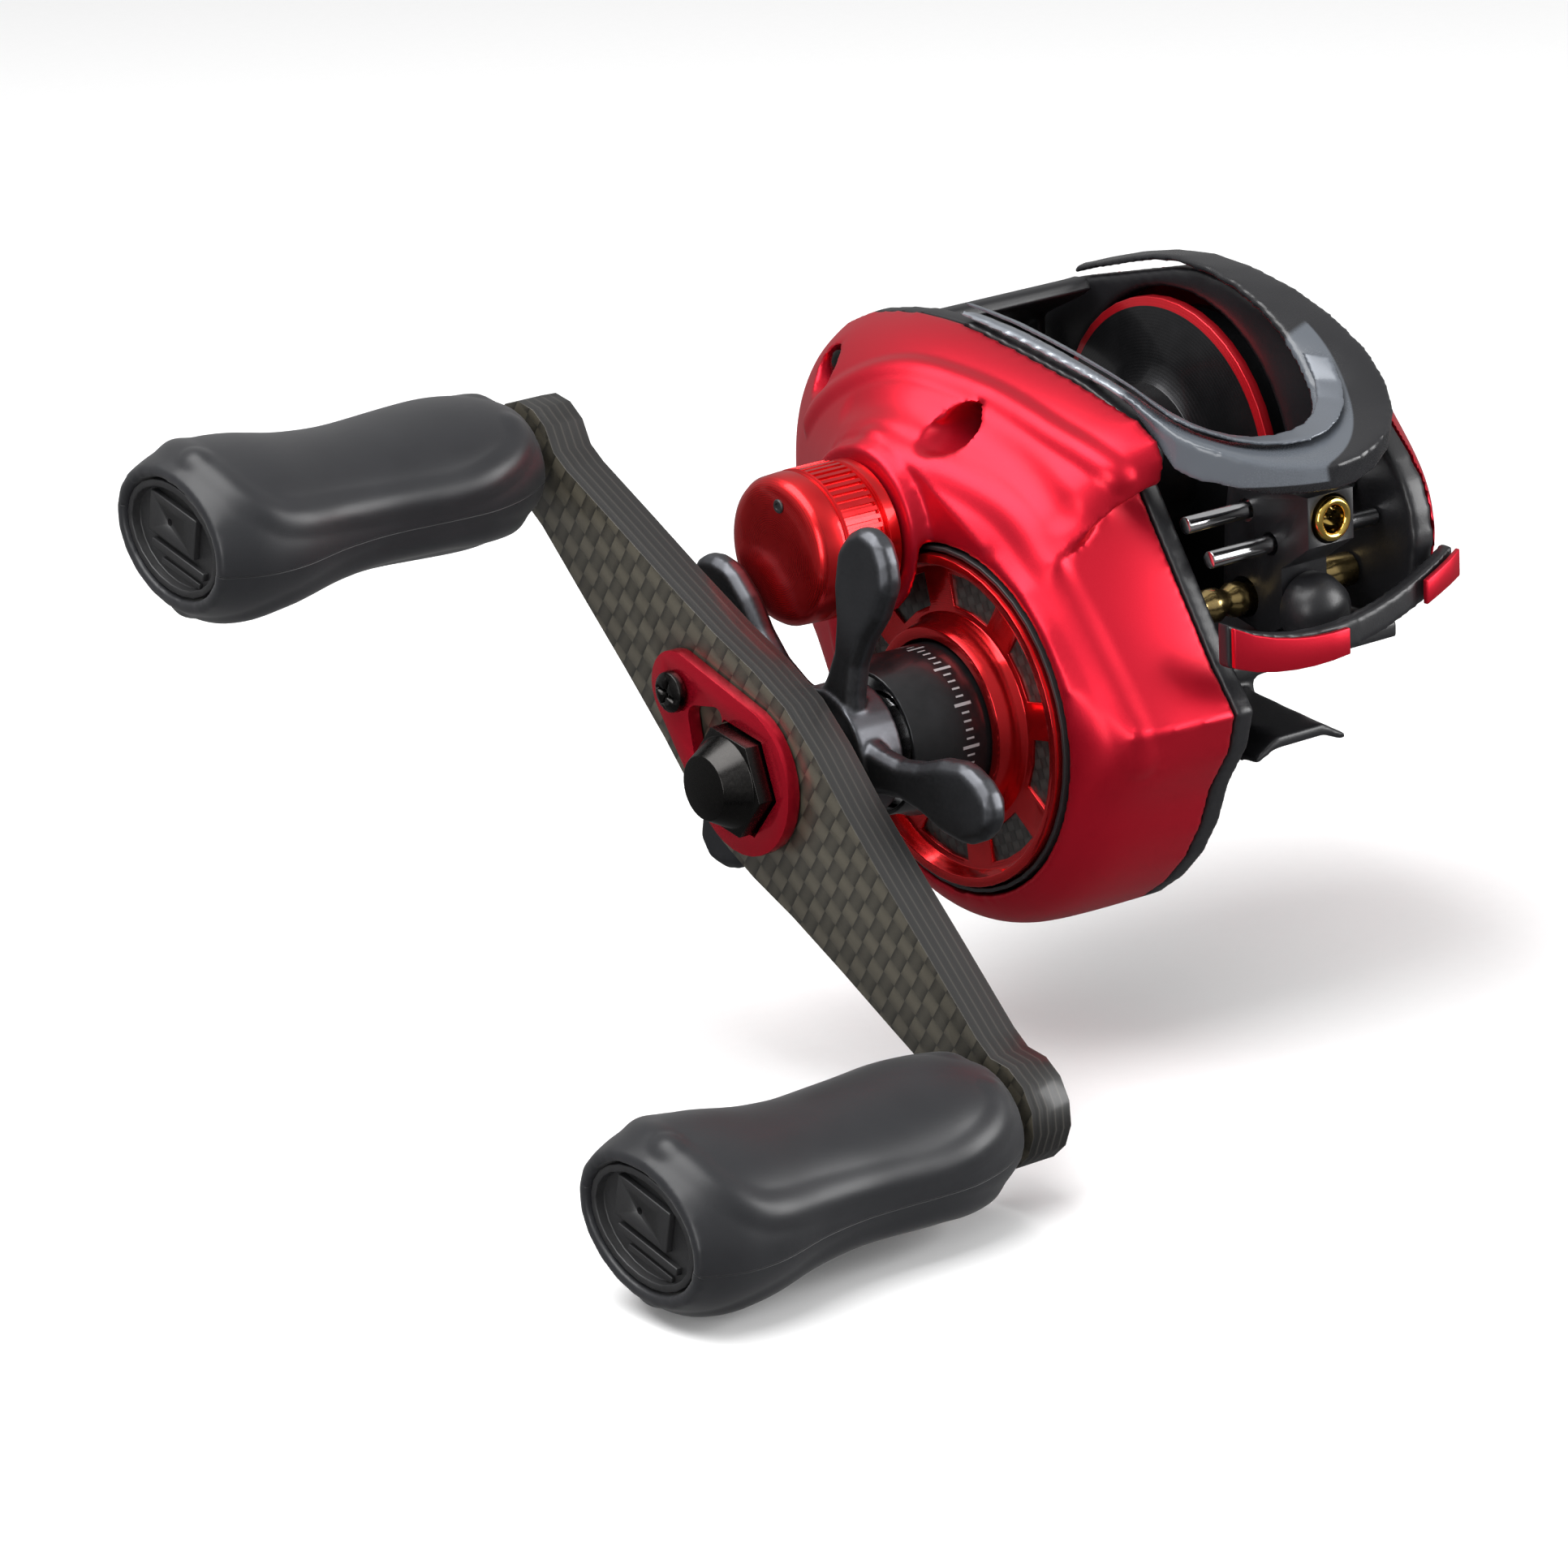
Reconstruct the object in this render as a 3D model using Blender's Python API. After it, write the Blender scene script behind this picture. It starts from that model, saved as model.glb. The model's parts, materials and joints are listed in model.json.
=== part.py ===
"""Low-profile baitcasting reel, right-hand retrieve, built as separate parts.

Frame: -Y points to the rod tip, -X is the handle side, +Z is up. The origin is
the middle of the flat seat under the reel foot. Design sizes are in millimetres.
"""
import math

import bmesh
import bpy
from mathutils import Matrix, Vector

MM = 0.001
GAP = 0.3                      # clearance between neighbouring pieces

# Driving dimensions -------------------------------------------------------
CRANK_Y, CRANK_Z = -6.0, 5.0   # drive shaft axis
SPOOL_Y, SPOOL_Z = 6.0, 24.0   # spool axis
SPOOL_RADIUS = 17.6            # spool flange radius
SPOOL_LEFT = -11.8             # spool's handle-side face
SPOOL_WIDTH = 23.0
PLATE_THICKNESS = 2.5          # frame side plates
COVER_DEPTH = 16.2             # handle-side cover, rim to face
COVER_WALL = 1.6
PALM_DEPTH = 13.0              # palm-side cover, rim to face
DRAG_RADIUS = 18.3             # windowed drag ring
MAIN_TEETH = 91
PINION_TEETH = 9
DRIVE_TEETH, IDLER_TEETH, WORM_TEETH = 32, 17, 12
LEVELWIND_MODULE = 0.5
YOKE_TRAVEL = 0.6              # how far the clutch yoke slides
LEVELWIND_ANGLE = 145.5        # from the crank axis towards the worm, degrees
HANDLE_LENGTH = 95.0           # grip axis to grip axis
HANDLE_ANGLE = 144.8           # direction of the upper arm, degrees from +Y turned to -Z
HANDLE_THICKNESS = 5.0
GRIP_LENGTH = 44.0
FOOT_LENGTH = 54.0
FOOT_WIDTH = 12.5
SHAFT_RADIUS = 2.6
STAR_RADIUS = 28.0
STAR_ARMS = 5

# Stations along X that follow from the sizes above ------------------------
PLATE_IN = SPOOL_LEFT - 0.4
PLATE_OUT = PLATE_IN - PLATE_THICKNESS
RIM_X = PLATE_OUT - GAP
FACE_X = RIM_X - COVER_DEPTH
SPOOL_RIGHT = SPOOL_LEFT + SPOOL_WIDTH
PALM_IN = SPOOL_RIGHT + 0.6
PALM_OUT = PALM_IN + PLATE_THICKNESS + 0.4
PALM_RIM = PALM_OUT + GAP
PALM_FACE = PALM_RIM + PALM_DEPTH
RING_X = FACE_X - 0.8          # outer lip of the drag ring
STAR_X = RING_X - 11.5         # inner face of the star's hub
ARM_X = RING_X - 21.0          # inner face of the handle arm
ARM_OUT = ARM_X - HANDLE_THICKNESS
GRIP_X = ARM_OUT - 1.5         # inner end of the grips
GRIP_END = GRIP_X - GRIP_LENGTH
KNOB_X = FACE_X - 2.5          # inner end of the tension knob
KNOB_LENGTH = 11.2

CENTRES = math.hypot(SPOOL_Y - CRANK_Y, SPOOL_Z - CRANK_Z)
MAIN_MODULE = 2.0 * CENTRES / (MAIN_TEETH + PINION_TEETH)
MESH_ANGLE = math.atan2(SPOOL_Z - CRANK_Z, SPOOL_Y - CRANK_Y)
WORM_TURN = math.radians(LEVELWIND_ANGLE)
IDLER_REACH = LEVELWIND_MODULE * (DRIVE_TEETH + IDLER_TEETH) / 2
WORM_REACH = LEVELWIND_MODULE * (DRIVE_TEETH + 2 * IDLER_TEETH + WORM_TEETH) / 2


def polar(y, z, radius, angle):
    return y + radius * math.cos(angle), z + radius * math.sin(angle)


CRANK = (CRANK_Y, CRANK_Z)
SPOOL = (SPOOL_Y, SPOOL_Z)
IDLER = polar(*CRANK, IDLER_REACH, WORM_TURN)
WORM = polar(*CRANK, WORM_REACH, WORM_TURN)
BAR_FRONT = (-26.4, 22.8)
BAR_REAR = (-22.6, 25.8)
ARM_TURN = math.radians(HANDLE_ANGLE)
GRIP_UP = (CRANK_Y - math.cos(ARM_TURN) * HANDLE_LENGTH / 2,
           CRANK_Z + math.sin(ARM_TURN) * HANDLE_LENGTH / 2)
GRIP_LOW = (2 * CRANK_Y - GRIP_UP[0], 2 * CRANK_Z - GRIP_UP[1])
CLUTCH_POSTS = ((SPOOL_Y - 7.5, SPOOL_Z + 4.6), (SPOOL_Y + 7.5, SPOOL_Z + 4.6))
SCREWS = {"rear": (25.0, 36.2), "top": (-1.6, 35.2), "lower": (24.0, 11.0)}

# The part's empties, one for each moving body, on its joint axis ------------
BODIES = {}


def add_body(name, x, y, z, parent=None):
    empty = bpy.data.objects.new(name, None)
    bpy.context.collection.objects.link(empty)
    empty.empty_display_size = 5 * MM
    BODIES[name] = Vector((x, y, z))
    empty["body"] = True
    empty.location = BODIES[name] * MM
    if parent:
        empty.parent = bpy.data.objects[parent]
        empty.location = (BODIES[name] - BODIES[parent]) * MM
    return empty


def clear_scene():
    for item in list(bpy.data.objects):
        bpy.data.objects.remove(item, do_unlink=True)


def material(name, colour, roughness, metallic):
    made = bpy.data.materials.new(name)
    made.use_nodes = True
    shader = made.node_tree.nodes["Principled BSDF"]
    shader.inputs["Base Color"].default_value = (*colour, 1.0)
    shader.inputs["Roughness"].default_value = roughness
    shader.inputs["Metallic"].default_value = metallic
    made.diffuse_color = (*colour, 1.0)
    return made


def finish(name, mesh, body, coat, at=(0.0, 0.0, 0.0)):
    """Put a bmesh drawn in millimetres around the point `at` into the scene."""
    bmesh.ops.remove_doubles(mesh, verts=mesh.verts, dist=1e-5)
    bmesh.ops.recalc_face_normals(mesh, faces=mesh.faces)
    bmesh.ops.transform(mesh, matrix=Matrix.Scale(MM, 4), verts=mesh.verts)
    data = bpy.data.meshes.new(name)
    mesh.to_mesh(data)
    mesh.free()
    data.shade_smooth()
    data.set_sharp_from_angle(angle=math.radians(32))
    item = bpy.data.objects.new(name, data)
    bpy.context.collection.objects.link(item)
    item.location = (Vector(at) - BODIES[body]) * MM
    item.parent = bpy.data.objects[body]
    if coat:
        data.materials.append(coat)
    return item


def turned(name, profile, axis, body, coat=None, steps=32, start=0.0):
    """Turn an (x, radius) outline about the line through `axis` along X, from `start` degrees."""
    mesh = bmesh.new()
    side, rise = math.sin(math.radians(start)), math.cos(math.radians(start))
    ring = [mesh.verts.new((x, r * side, r * rise)) for x, r in profile]
    edges = [mesh.edges.new(pair) for pair in zip(ring, ring[1:])]
    if profile[0][1] > 0 or profile[-1][1] > 0:
        edges.append(mesh.edges.new((ring[-1], ring[0])))
    bmesh.ops.spin(mesh, geom=ring + edges, cent=(0, 0, 0), axis=(1, 0, 0),
                   angle=math.tau, steps=steps, use_merge=True)
    bmesh.ops.dissolve_degenerate(mesh, dist=1e-5, edges=mesh.edges)
    return finish(name, mesh, body, coat, (0.0, *axis))


def prism(name, outline, low, high, body, coat=None, axis=(0.0, 0.0)):
    """Extrude a closed (y, z) outline from x = low to x = high."""
    mesh = bmesh.new()
    face = mesh.faces.new([mesh.verts.new((low, y, z)) for y, z in outline])
    grown = bmesh.ops.extrude_face_region(mesh, geom=[face])
    moved = [g for g in grown["geom"] if isinstance(g, bmesh.types.BMVert)]
    bmesh.ops.translate(mesh, vec=(high - low, 0, 0), verts=moved)
    return finish(name, mesh, body, coat, (0.0, *axis))


def block(name, low, high, body, coat=None):
    outline = [(low[1], low[2]), (high[1], low[2]), (high[1], high[2]), (low[1], high[2])]
    return prism(name, outline, low[0], high[0], body, coat)


def loft(name, sections, body, coat=None, at=(0.0, 0.0, 0.0), closed=False):
    """Skin a row of equal-count (x, y, z) rings, capped at both ends."""
    mesh = bmesh.new()
    rings = [[mesh.verts.new(p) for p in ring] for ring in sections]
    pairs = list(zip(rings, rings[1:]))
    if closed:
        pairs.append((rings[-1], rings[0]))
    else:
        mesh.faces.new(rings[0])
        mesh.faces.new(rings[-1])
    for a, b in pairs:
        for i in range(len(a)):
            j = (i + 1) % len(a)
            mesh.faces.new((a[i], a[j], b[j], b[i]))
    return finish(name, mesh, body, coat, at)


def combine(item, others, how="DIFFERENCE", solver="EXACT"):
    """Cut hidden shapes from an object, or join them to it."""
    for other in others:
        other.hide_render = True
        other.display_type = "WIRE"
        step = item.modifiers.new(how.lower(), "BOOLEAN")
        step.operation = how
        step.solver = solver
        step.object = other


def bevel(item, width, segments=2, angle=40):
    step = item.modifiers.new("edges", "BEVEL")
    step.width = width * MM
    step.segments = segments
    step.limit_method = "ANGLE"
    step.angle_limit = math.radians(angle)


def rod(name, x0, x1, radius, axis, body, coat=None, steps=16, start=0.0):
    return turned(name, [(x0, 0), (x0, radius), (x1, radius), (x1, 0)], axis, body, coat, steps, start)


def tube(name, x0, x1, inner, outer, axis, body, coat=None, steps=32):
    outline = [(x0, inner), (x0, outer), (x1, outer), (x1, inner)]
    return turned(name, outline, axis, body, coat, steps)


def arc(centre, radius, start, end, count):
    """Points on a circle in the YZ plane, angles in degrees from +Y towards +Z."""
    turn = [math.radians(start + (end - start) * i / (count - 1)) for i in range(count)]
    return [polar(*centre, radius, a) for a in turn]


def hull(points):
    """Convex outline round a cloud of (y, z) points, anticlockwise."""
    order = sorted(set(points))

    def chain(run):
        out = []
        for p in run:
            while len(out) > 1 and ((out[-1][0] - out[-2][0]) * (p[1] - out[-2][1])
                                    <= (out[-1][1] - out[-2][1]) * (p[0] - out[-2][0])):
                out.pop()
            out.append(p)
        return out[:-1]

    return chain(order) + chain(order[::-1])


def discs(*circles, count=40):
    cloud = []
    for centre, radius in circles:
        cloud += arc(centre, radius, 0, 360 * (count - 1) / count, count)
    return hull([(round(y, 4), round(z, 4)) for y, z in cloud])


def ray_hit(outline, pivot, target):
    """Where the ray from pivot through target leaves an outline round the pivot."""
    dy, dz = target[0] - pivot[0], target[1] - pivot[1]
    best = None
    for (ay, az), (by, bz) in zip(outline, outline[1:] + outline[:1]):
        ey, ez = by - ay, bz - az
        cross = dy * ez - dz * ey
        if abs(cross) < 1e-9:
            continue
        along = ((ay - pivot[0]) * ez - (az - pivot[1]) * ey) / cross
        side = ((ay - pivot[0]) * dz - (az - pivot[1]) * dy) / cross
        if along > 0 and -1e-9 <= side <= 1 + 1e-9:
            best = along if best is None else max(best, along)
    return pivot[0] + dy * best, pivot[1] + dz * best


def toward(point, pivot, distance):
    """Move a (y, z) point towards the pivot by a distance."""
    dy, dz = point[0] - pivot[0], point[1] - pivot[1]
    far = math.hypot(dy, dz)
    return pivot[0] + dy * (1 - distance / far), pivot[1] + dz * (1 - distance / far)


def gear_outline(teeth, module, phase, thin=0.12, top=0.62, foot=1.1):
    """Straight-flanked spur teeth with V roots, cut thin so that they run with backlash."""
    tip_r = module * (teeth / 2 + top)
    root_r = module * (teeth / 2 - foot)
    step = math.tau / teeth
    points = []
    for i in range(teeth):
        a = phase + i * step
        points.append(polar(0, 0, tip_r, a - thin * step / 2))
        points.append(polar(0, 0, tip_r, a + thin * step / 2))
        points.append(polar(0, 0, root_r, a + step / 2))
    return points


def gear(name, teeth, module, phase, x0, x1, bore, axis, body, coat):
    made = prism(name, gear_outline(teeth, module, phase), x0, x1, body, coat, axis)
    combine(made, [rod(name + "_bore", x0 - 1, x1 + 1, bore, axis, body)])
    return made


# Outlines shared by the cover, the frame and the hood ------------------------
REAR_DISC = ((21.0, 25.6), 16.6)
FRONT_WALL = [(-32.6, 3.6), (-33.8, 8.0), (-30.0, 12.9), (-18.6, 30.6), (-22.6, 31.0), (-23.0, 32.0)]
HORN = [(-23.3, 33.8), (-22.4, 35.7), (-19.4, 37.4), (-9.6, 39.7), (-0.4, 41.4)]
COVER_RADIUS = 24.2            # round lower end, about the drive shaft


def handle_outline():
    """Side profile of the handle side, clockwise from the horn at the front."""
    top = HORN + arc((13.5, 0.0), 43.1, 97, 80, 4)
    rear = arc(*REAR_DISC, 74, -39, 8)
    lower = arc(CRANK, COVER_RADIUS, -40, -165, 12)
    return top + rear + lower + FRONT_WALL


def palm_outline():
    return discs(((2.0, 27.2), 18.0), ((-10.0, 24.0), 17.6), ((20.0, 25.0), 16.0),
                 ((-20.5, 21.0), 12.0), ((15.0, 15.0), 13.0), count=24)


HANDLE_OUTLINE = handle_outline()
PALM_OUTLINE = palm_outline()
PIVOT = (-3.0, 12.0)
PALM_PIVOT = (4.0, 22.0)


def aims(outline, pivot, notch):
    """Directions from the pivot to the outline, evened out over the notch's points."""
    turn = [math.atan2(z - pivot[1], y - pivot[0]) for y, z in outline]
    first, last = notch
    for i in range(first + 1, last):
        share = (i - first) / (last - first)
        turn[i] = turn[first] % math.tau * (1 - share) + turn[last] % math.tau * share
    return turn


NOTCH = (len(HANDLE_OUTLINE) - 4, len(HANDLE_OUTLINE) - 1)
HANDLE_AIMS = aims(HANDLE_OUTLINE, PIVOT, NOTCH)
INNER_OUTLINE = ([(-19.6, 34.8), (-19.2, 36.0)] + HANDLE_OUTLINE[2:-4]
                 + [(-30.4, 12.9), (-19.0, 30.6), (-18.4, 31.2), (-18.2, 33.2)])
PLATE_OUTLINE = [(-20.4, 32.6), (-20.0, 35.0), (-17.8, 36.9)] + HANDLE_OUTLINE[3:-2]


def blend(low, high, value):
    """0 below `low`, 1 above `high`, smooth between."""
    t = min(max((value - low) / (high - low), 0.0), 1.0)
    return t * t * (3 - 2 * t)


def cover_sections(inset):
    """Rings of the handle-side cover, from rim to face, drawn in by `inset`."""
    boss = discs((CRANK, DRAG_RADIUS + 2.4), (SPOOL, 10.4), count=40)
    stations = [(0.0, 0.0, 0.0), (0.13, 0.0, 0.03), (0.32, 0.02, 0.15), (0.55, 0.05, 0.38),
                (0.76, 0.14, 0.66), (0.90, 0.42, 0.85), (1.0, 1.0, 1.0)]
    rings = []
    for depth, low_t, high_t in stations:
        x = RIM_X - COVER_DEPTH * depth
        if inset:
            x += inset if depth > 0 else 1.0
        ring = []
        for p, aim in zip(INNER_OUTLINE if inset else HANDLE_OUTLINE, HANDLE_AIMS):
            q = ray_hit(boss, PIVOT, polar(*PIVOT, 10.0, aim))
            share = blend(4.0, 24.0, p[1])
            t = low_t + (high_t - low_t) * share
            y, z = p[0] + (q[0] - p[0]) * t, p[1] + (q[1] - p[1]) * t
            ring.append((x, *(toward((y, z), PIVOT, inset) if inset else (y, z))))
        rings.append(ring)
    return rings


def palm_sections(inset):
    """Rings of the palm-side cover, a low dome that leans back at the front."""
    stations = [(0.0, 0.0, 0.0), (0.2, 0.08, 0.03), (0.45, 0.20, 0.09), (0.7, 0.34, 0.20),
                (0.88, 0.46, 0.34), (1.0, 0.60, 0.54)]
    rings = []
    for depth, front_t, rest_t in stations:
        x = PALM_RIM + PALM_DEPTH * depth
        if inset:
            x -= inset if depth > 0 else 1.0
        ring = []
        for p in PALM_OUTLINE:
            q = toward(p, PALM_PIVOT, inset) if inset else p
            t = rest_t + (front_t - rest_t) * blend(8.0, 26.0, -p[0])
            ring.append((x, q[0] + (PALM_PIVOT[0] - q[0]) * t, q[1] + (PALM_PIVOT[1] - q[1]) * t))
        rings.append(ring)
    return rings


# Frame -----------------------------------------------------------------------
FLOOR_Z = 3.4                  # underside of the frame floor, above the foot
FLOOR_TOP = SPOOL_Z - SPOOL_RADIUS - 0.5


def build_frame(coats):
    frame = prism("frame", PLATE_OUTLINE, PLATE_OUT, PLATE_IN, "frame_body", coats["black"])
    palm = prism("frame_palm_plate", PALM_OUTLINE, PALM_IN, PALM_OUT, "frame_body")
    lap = 0.6
    floor = block("frame_floor", (PLATE_IN - lap, -14.0, FLOOR_Z), (PALM_IN + lap, 24.0, FLOOR_TOP),
                  "frame_body")
    stem = block("foot_stem", (-5.0, -14.0, 1.2), (5.0, 22.0, FLOOR_Z + 1.0), "frame_body")
    rear = block("frame_rear_wall", (PLATE_IN - lap, 32.4, 14.0), (PALM_IN + lap, 34.4, 29.6),
                 "frame_body")
    back = block("frame_back_floor", (PLATE_IN - lap, 23.0, FLOOR_Z), (PALM_IN + lap, 27.0, 9.0),
                 "frame_body")
    shelf = block("frame_shelf", (PLATE_IN - lap, -29.0, 9.6), (PALM_IN + lap, -13.0, 11.4), "frame_body")
    riser = block("frame_riser", (PLATE_IN - lap, -14.5, FLOOR_Z + 0.5), (PALM_IN + lap, -12.6, 11.4),
                  "frame_body")
    pins = [rod("idler_pin", PLATE_OUT - 2.6, PLATE_OUT + 1, 1.0, IDLER, "frame_body", steps=12)]
    pins += [rod("clutch_post_%d" % y, PLATE_OUT - 11.5, PLATE_OUT + 1, 0.8, (y, z), "frame_body", steps=10)
             for y, z in CLUTCH_POSTS]
    combine(frame, [palm, floor, stem, rear, back, shelf, riser, foot_shape()] + pins, "UNION")
    x0, x1 = PLATE_OUT - 1, PLATE_IN + 1
    holes = [rod("hole_spool_bearing", x0, x1, 4.9, SPOOL, "frame_body"),
             rod("hole_drive_bearing", x0, x1, 5.5, CRANK, "frame_body"),
             rod("hole_worm", x0, x1, 1.9, WORM, "frame_body"),
             rod("hole_spool_removal", PALM_IN - 1, PALM_OUT + 1, SPOOL_RADIUS + 0.7, SPOOL,
                 "frame_body", steps=44)]
    holes += [rod("hole_screw_" + n, x0, x1, 1.3, at, "frame_body") for n, at in SCREWS.items()]
    combine(frame, holes)
    return frame


def foot_shape():
    """Saddle-shaped foot: a flat strip on the rod, edges turned down, tips thinned."""
    half, flat = FOOT_WIDTH / 2, 3.4
    long = FOOT_LENGTH / 2
    rings = []
    for y, thick, width in ((-long, 1.3, 1.06), (-long + 4.0, 1.7, 1.0), (-15.0, 2.6, 0.94), (15.0, 2.6, 0.94),
                            (long - 4.0, 1.7, 1.0), (long, 1.3, 1.06)):
        edge = half * width
        rings.append([(-edge, y, -1.3), (-flat, y, 0.0), (flat, y, 0.0), (edge, y, -1.3),
                      (edge, y, -1.3 + thick * 0.6), (flat, y, thick), (-flat, y, thick),
                      (-edge, y, -1.3 + thick * 0.6)])
    return loft("foot_shape", rings, "frame_body")


HOOD = [  # outer lower edge, edge of the spool window, height of the skirt
    ((-14.7, 11.0, 43.4), (-12.8, 10.5, 43.6), 0.2),
    ((-14.7, 2.5, 42.3), (-12.7, 2.3, 42.9), 0.5),
    ((-14.7, -9.0, 40.3), (-12.6, -8.4, 40.8), 0.7),
    ((-14.7, -17.5, 38.3), (-12.5, -15.8, 38.9), 0.9),
    ((-14.4, -24.2, 32.6), (-11.6, -20.5, 37.0), 3.9),
    ((-12.0, -28.4, 31.4), (-9.2, -23.7, 35.2), 3.7),
    ((-8.0, -32.0, 30.2), (-5.5, -26.0, 34.2), 3.3),
    ((-1.5, -35.0, 29.9), (-1.0, -26.8, 34.2), 3.0),
    ((5.0, -34.2, 31.0), (3.0, -25.8, 35.2), 2.8),
    ((10.5, -30.5, 33.5), (6.5, -22.0, 37.4), 2.4),
    ((13.8, -23.0, 38.4), (9.0, -14.5, 42.0), 1.8),
    ((14.9, -11.0, 43.3), (10.6, -5.0, 45.2), 1.2),
    ((14.9, 2.0, 45.7), (11.2, 5.0, 46.2), 0.6),
    ((14.9, 14.0, 44.1), (11.4, 13.0, 44.8), 0.5),
    ((14.9, 24.0, 41.2), (11.6, 23.0, 41.9), 0.4),
]


def spline(points, per_span):
    """Catmull-Rom points through a list of Vectors."""
    out = []
    last = len(points) - 1
    for i in range(last):
        a, b = points[max(i - 1, 0)], points[i]
        c, d = points[i + 1], points[min(i + 2, last)]
        for k in range(per_span):
            t = k / per_span
            out.append(0.5 * ((2 * b) + (c - a) * t + (2 * a - 5 * b + 4 * c - d) * t * t
                              + (3 * b - a - 3 * c + d) * t ** 3))
    return out + [points[-1]]


def on_palm_side(point):
    """A hood point whose palm-side reach follows the palm plate as the spool gets wider."""
    x, y, z = point
    return Vector((x * PALM_OUT / 14.7 if x > 0 else x, y, z))


def hood_rows():
    outer = spline([on_palm_side(o) for o, _, _ in HOOD], 2)
    inner = spline([on_palm_side(i) for _, i, _ in HOOD], 2)
    skirt = [v.x for v in spline([Vector((h, 0, 0)) for _, _, h in HOOD], 2)]
    return outer, inner, skirt


def build_hood(coats):
    up = Vector((0, 0, 1))
    rings, panel = [], []
    for k, (o, i, skirt) in enumerate(zip(*hood_rows())):
        across = i - o
        across.z = 0.0
        rise = (i.z - o.z - skirt) / 2
        top = o + up * skirt
        thick = 0.55 + 0.25 * skirt
        rings.append([tuple(p) for p in (
            o, top - across * 0.04, top + across * 0.10 + up * (rise * 0.25 + 0.3),
            top + across * 0.5 + up * (rise + 0.35), i + up * 0.1, i - up * thick,
            o + across * 0.5 + up * (skirt * 0.6 + rise * 0.3 - 0.1), o + across * 0.14)])
        if k <= INLAY_END:
            share = 0.62 if k < 7 else 0.62 - 0.22 * (k - 7) / (INLAY_END - 7)
            near = i + (top - i) * 0.06 + up * (GAP + 0.25)
            far = i + (top - i) * share + up * (GAP + 0.65)
            panel.append([tuple(near), tuple(near + up * 0.4), tuple(far + up * 0.4), tuple(far)])
    loft("hood", rings, "frame_body", coats["black"])
    loft("hood_inlay", panel, "frame_body", coats["grey"])


INLAY_END = 19                 # last hood station that carries the inlay


def band(name, stations, thick, body, coat):
    """A rail whose (x, y, low z, high z) stations bulge forward."""
    rings = []
    for x, y, low, high in stations:
        rings.append([(x, y, low), (x, y, high), (x, y + thick, high), (x, y + thick, low)])
    return loft(name, rings, body, coat)


def brace_stations(start, end, count, out=0.0, trim=0.0):
    """Stations of the front rail, which bows forward, dips and ends higher on the palm side."""
    low, high = RIM_X - 1.6, PALM_RIM + 0.4
    rows = []
    for i in range(count):
        x = start + (end - start) * i / (count - 1)
        t = (x - low) / (high - low)
        bow = math.sin(math.pi * t) ** 0.8
        y = -34.5 - 2.7 * bow - out
        base = 13.6 + 3.4 * t ** 2 - 2.6 * bow * (1 - t)
        depth = 4.8 - 1.4 * t - 0.9 * bow
        rows.append((x, y, base + trim, base + depth - trim))
    return rows


def build_brace(coats):
    low, high = RIM_X - 1.6, PALM_RIM + 0.4
    band("front_brace", brace_stations(low, high, 13), 1.8, "frame_body", coats["black"])
    band("brace_insert_handle_side", brace_stations(low, -2.8, 7, GAP + 0.9, 0.2), 0.7, "frame_body",
         coats["red"])
    band("brace_insert_palm_side", brace_stations(9.0, high, 4, GAP + 0.9, 0.2), 0.7, "frame_body",
         coats["red"])


# Handle-side cover -----------------------------------------------------------
def build_handle_cover(coats):
    cover = loft("handle_side_cover", cover_sections(0.0), "frame_body", coats["red"])
    outline = [(KNOB_X - 6.0, 0), (KNOB_X - 6.0, 5.5), (KNOB_X + GAP, 5.5), (KNOB_X + GAP, 9.3), (FACE_X - 1.0, 9.7),
               (FACE_X + 3.0, 9.7), (FACE_X + 3.0, 0)]
    combine(cover, [turned("cover_boss", outline, SPOOL, "frame_body", None, 32)], "UNION")
    hollow = loft("cover_hollow", cover_sections(COVER_WALL), "frame_body")
    posts = [rod("cover_post_" + n, FACE_X, RIM_X + 2, 3.6, at, "frame_body", steps=14, start=7.0)
             for n, at in SCREWS.items()]
    combine(hollow, posts)
    combine(cover, [hollow], "DIFFERENCE", "MANIFOLD")
    cuts = [rod("cover_drag_opening", FACE_X - 1.3, FACE_X + 4, DRAG_RADIUS + 1.05, CRANK, "frame_body", None,
                48, 1.0),
            turned("cover_spool_bore", [(KNOB_X - 7, 0), (KNOB_X - 7, 3.8), (KNOB_X - 0.2, 3.8), (KNOB_X - 0.2, 1.6),
                                        (FACE_X + 4, 1.6), (FACE_X + 4, 0)], SPOOL, "frame_body", None, 22, 5.0)]
    for n, at in SCREWS.items():
        step = [(FACE_X - 1, 0), (FACE_X - 1, 2.5), (RIM_X - 4.0, 2.5), (RIM_X - 4.0, 1.3), (RIM_X + 2, 1.3),
                (RIM_X + 2, 0)]
        cuts.append(turned("cover_recess_" + n, step, at, "frame_body", None, 16, 3.0))
    combine(cover, cuts)
    for n, at in SCREWS.items():
        head = RIM_X - 4.0 - GAP
        outline = [(head - 1.4, 0), (head - 1.4, 1.2), (head - 1.0, 2.0), (head, 2.0), (head, 1.0),
                   (PLATE_IN - 0.3, 1.0), (PLATE_IN - 0.3, 0)]
        turned("cover_screw_" + n, outline, at, "frame_body", coats["black_steel"], 16)
    return cover


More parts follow.
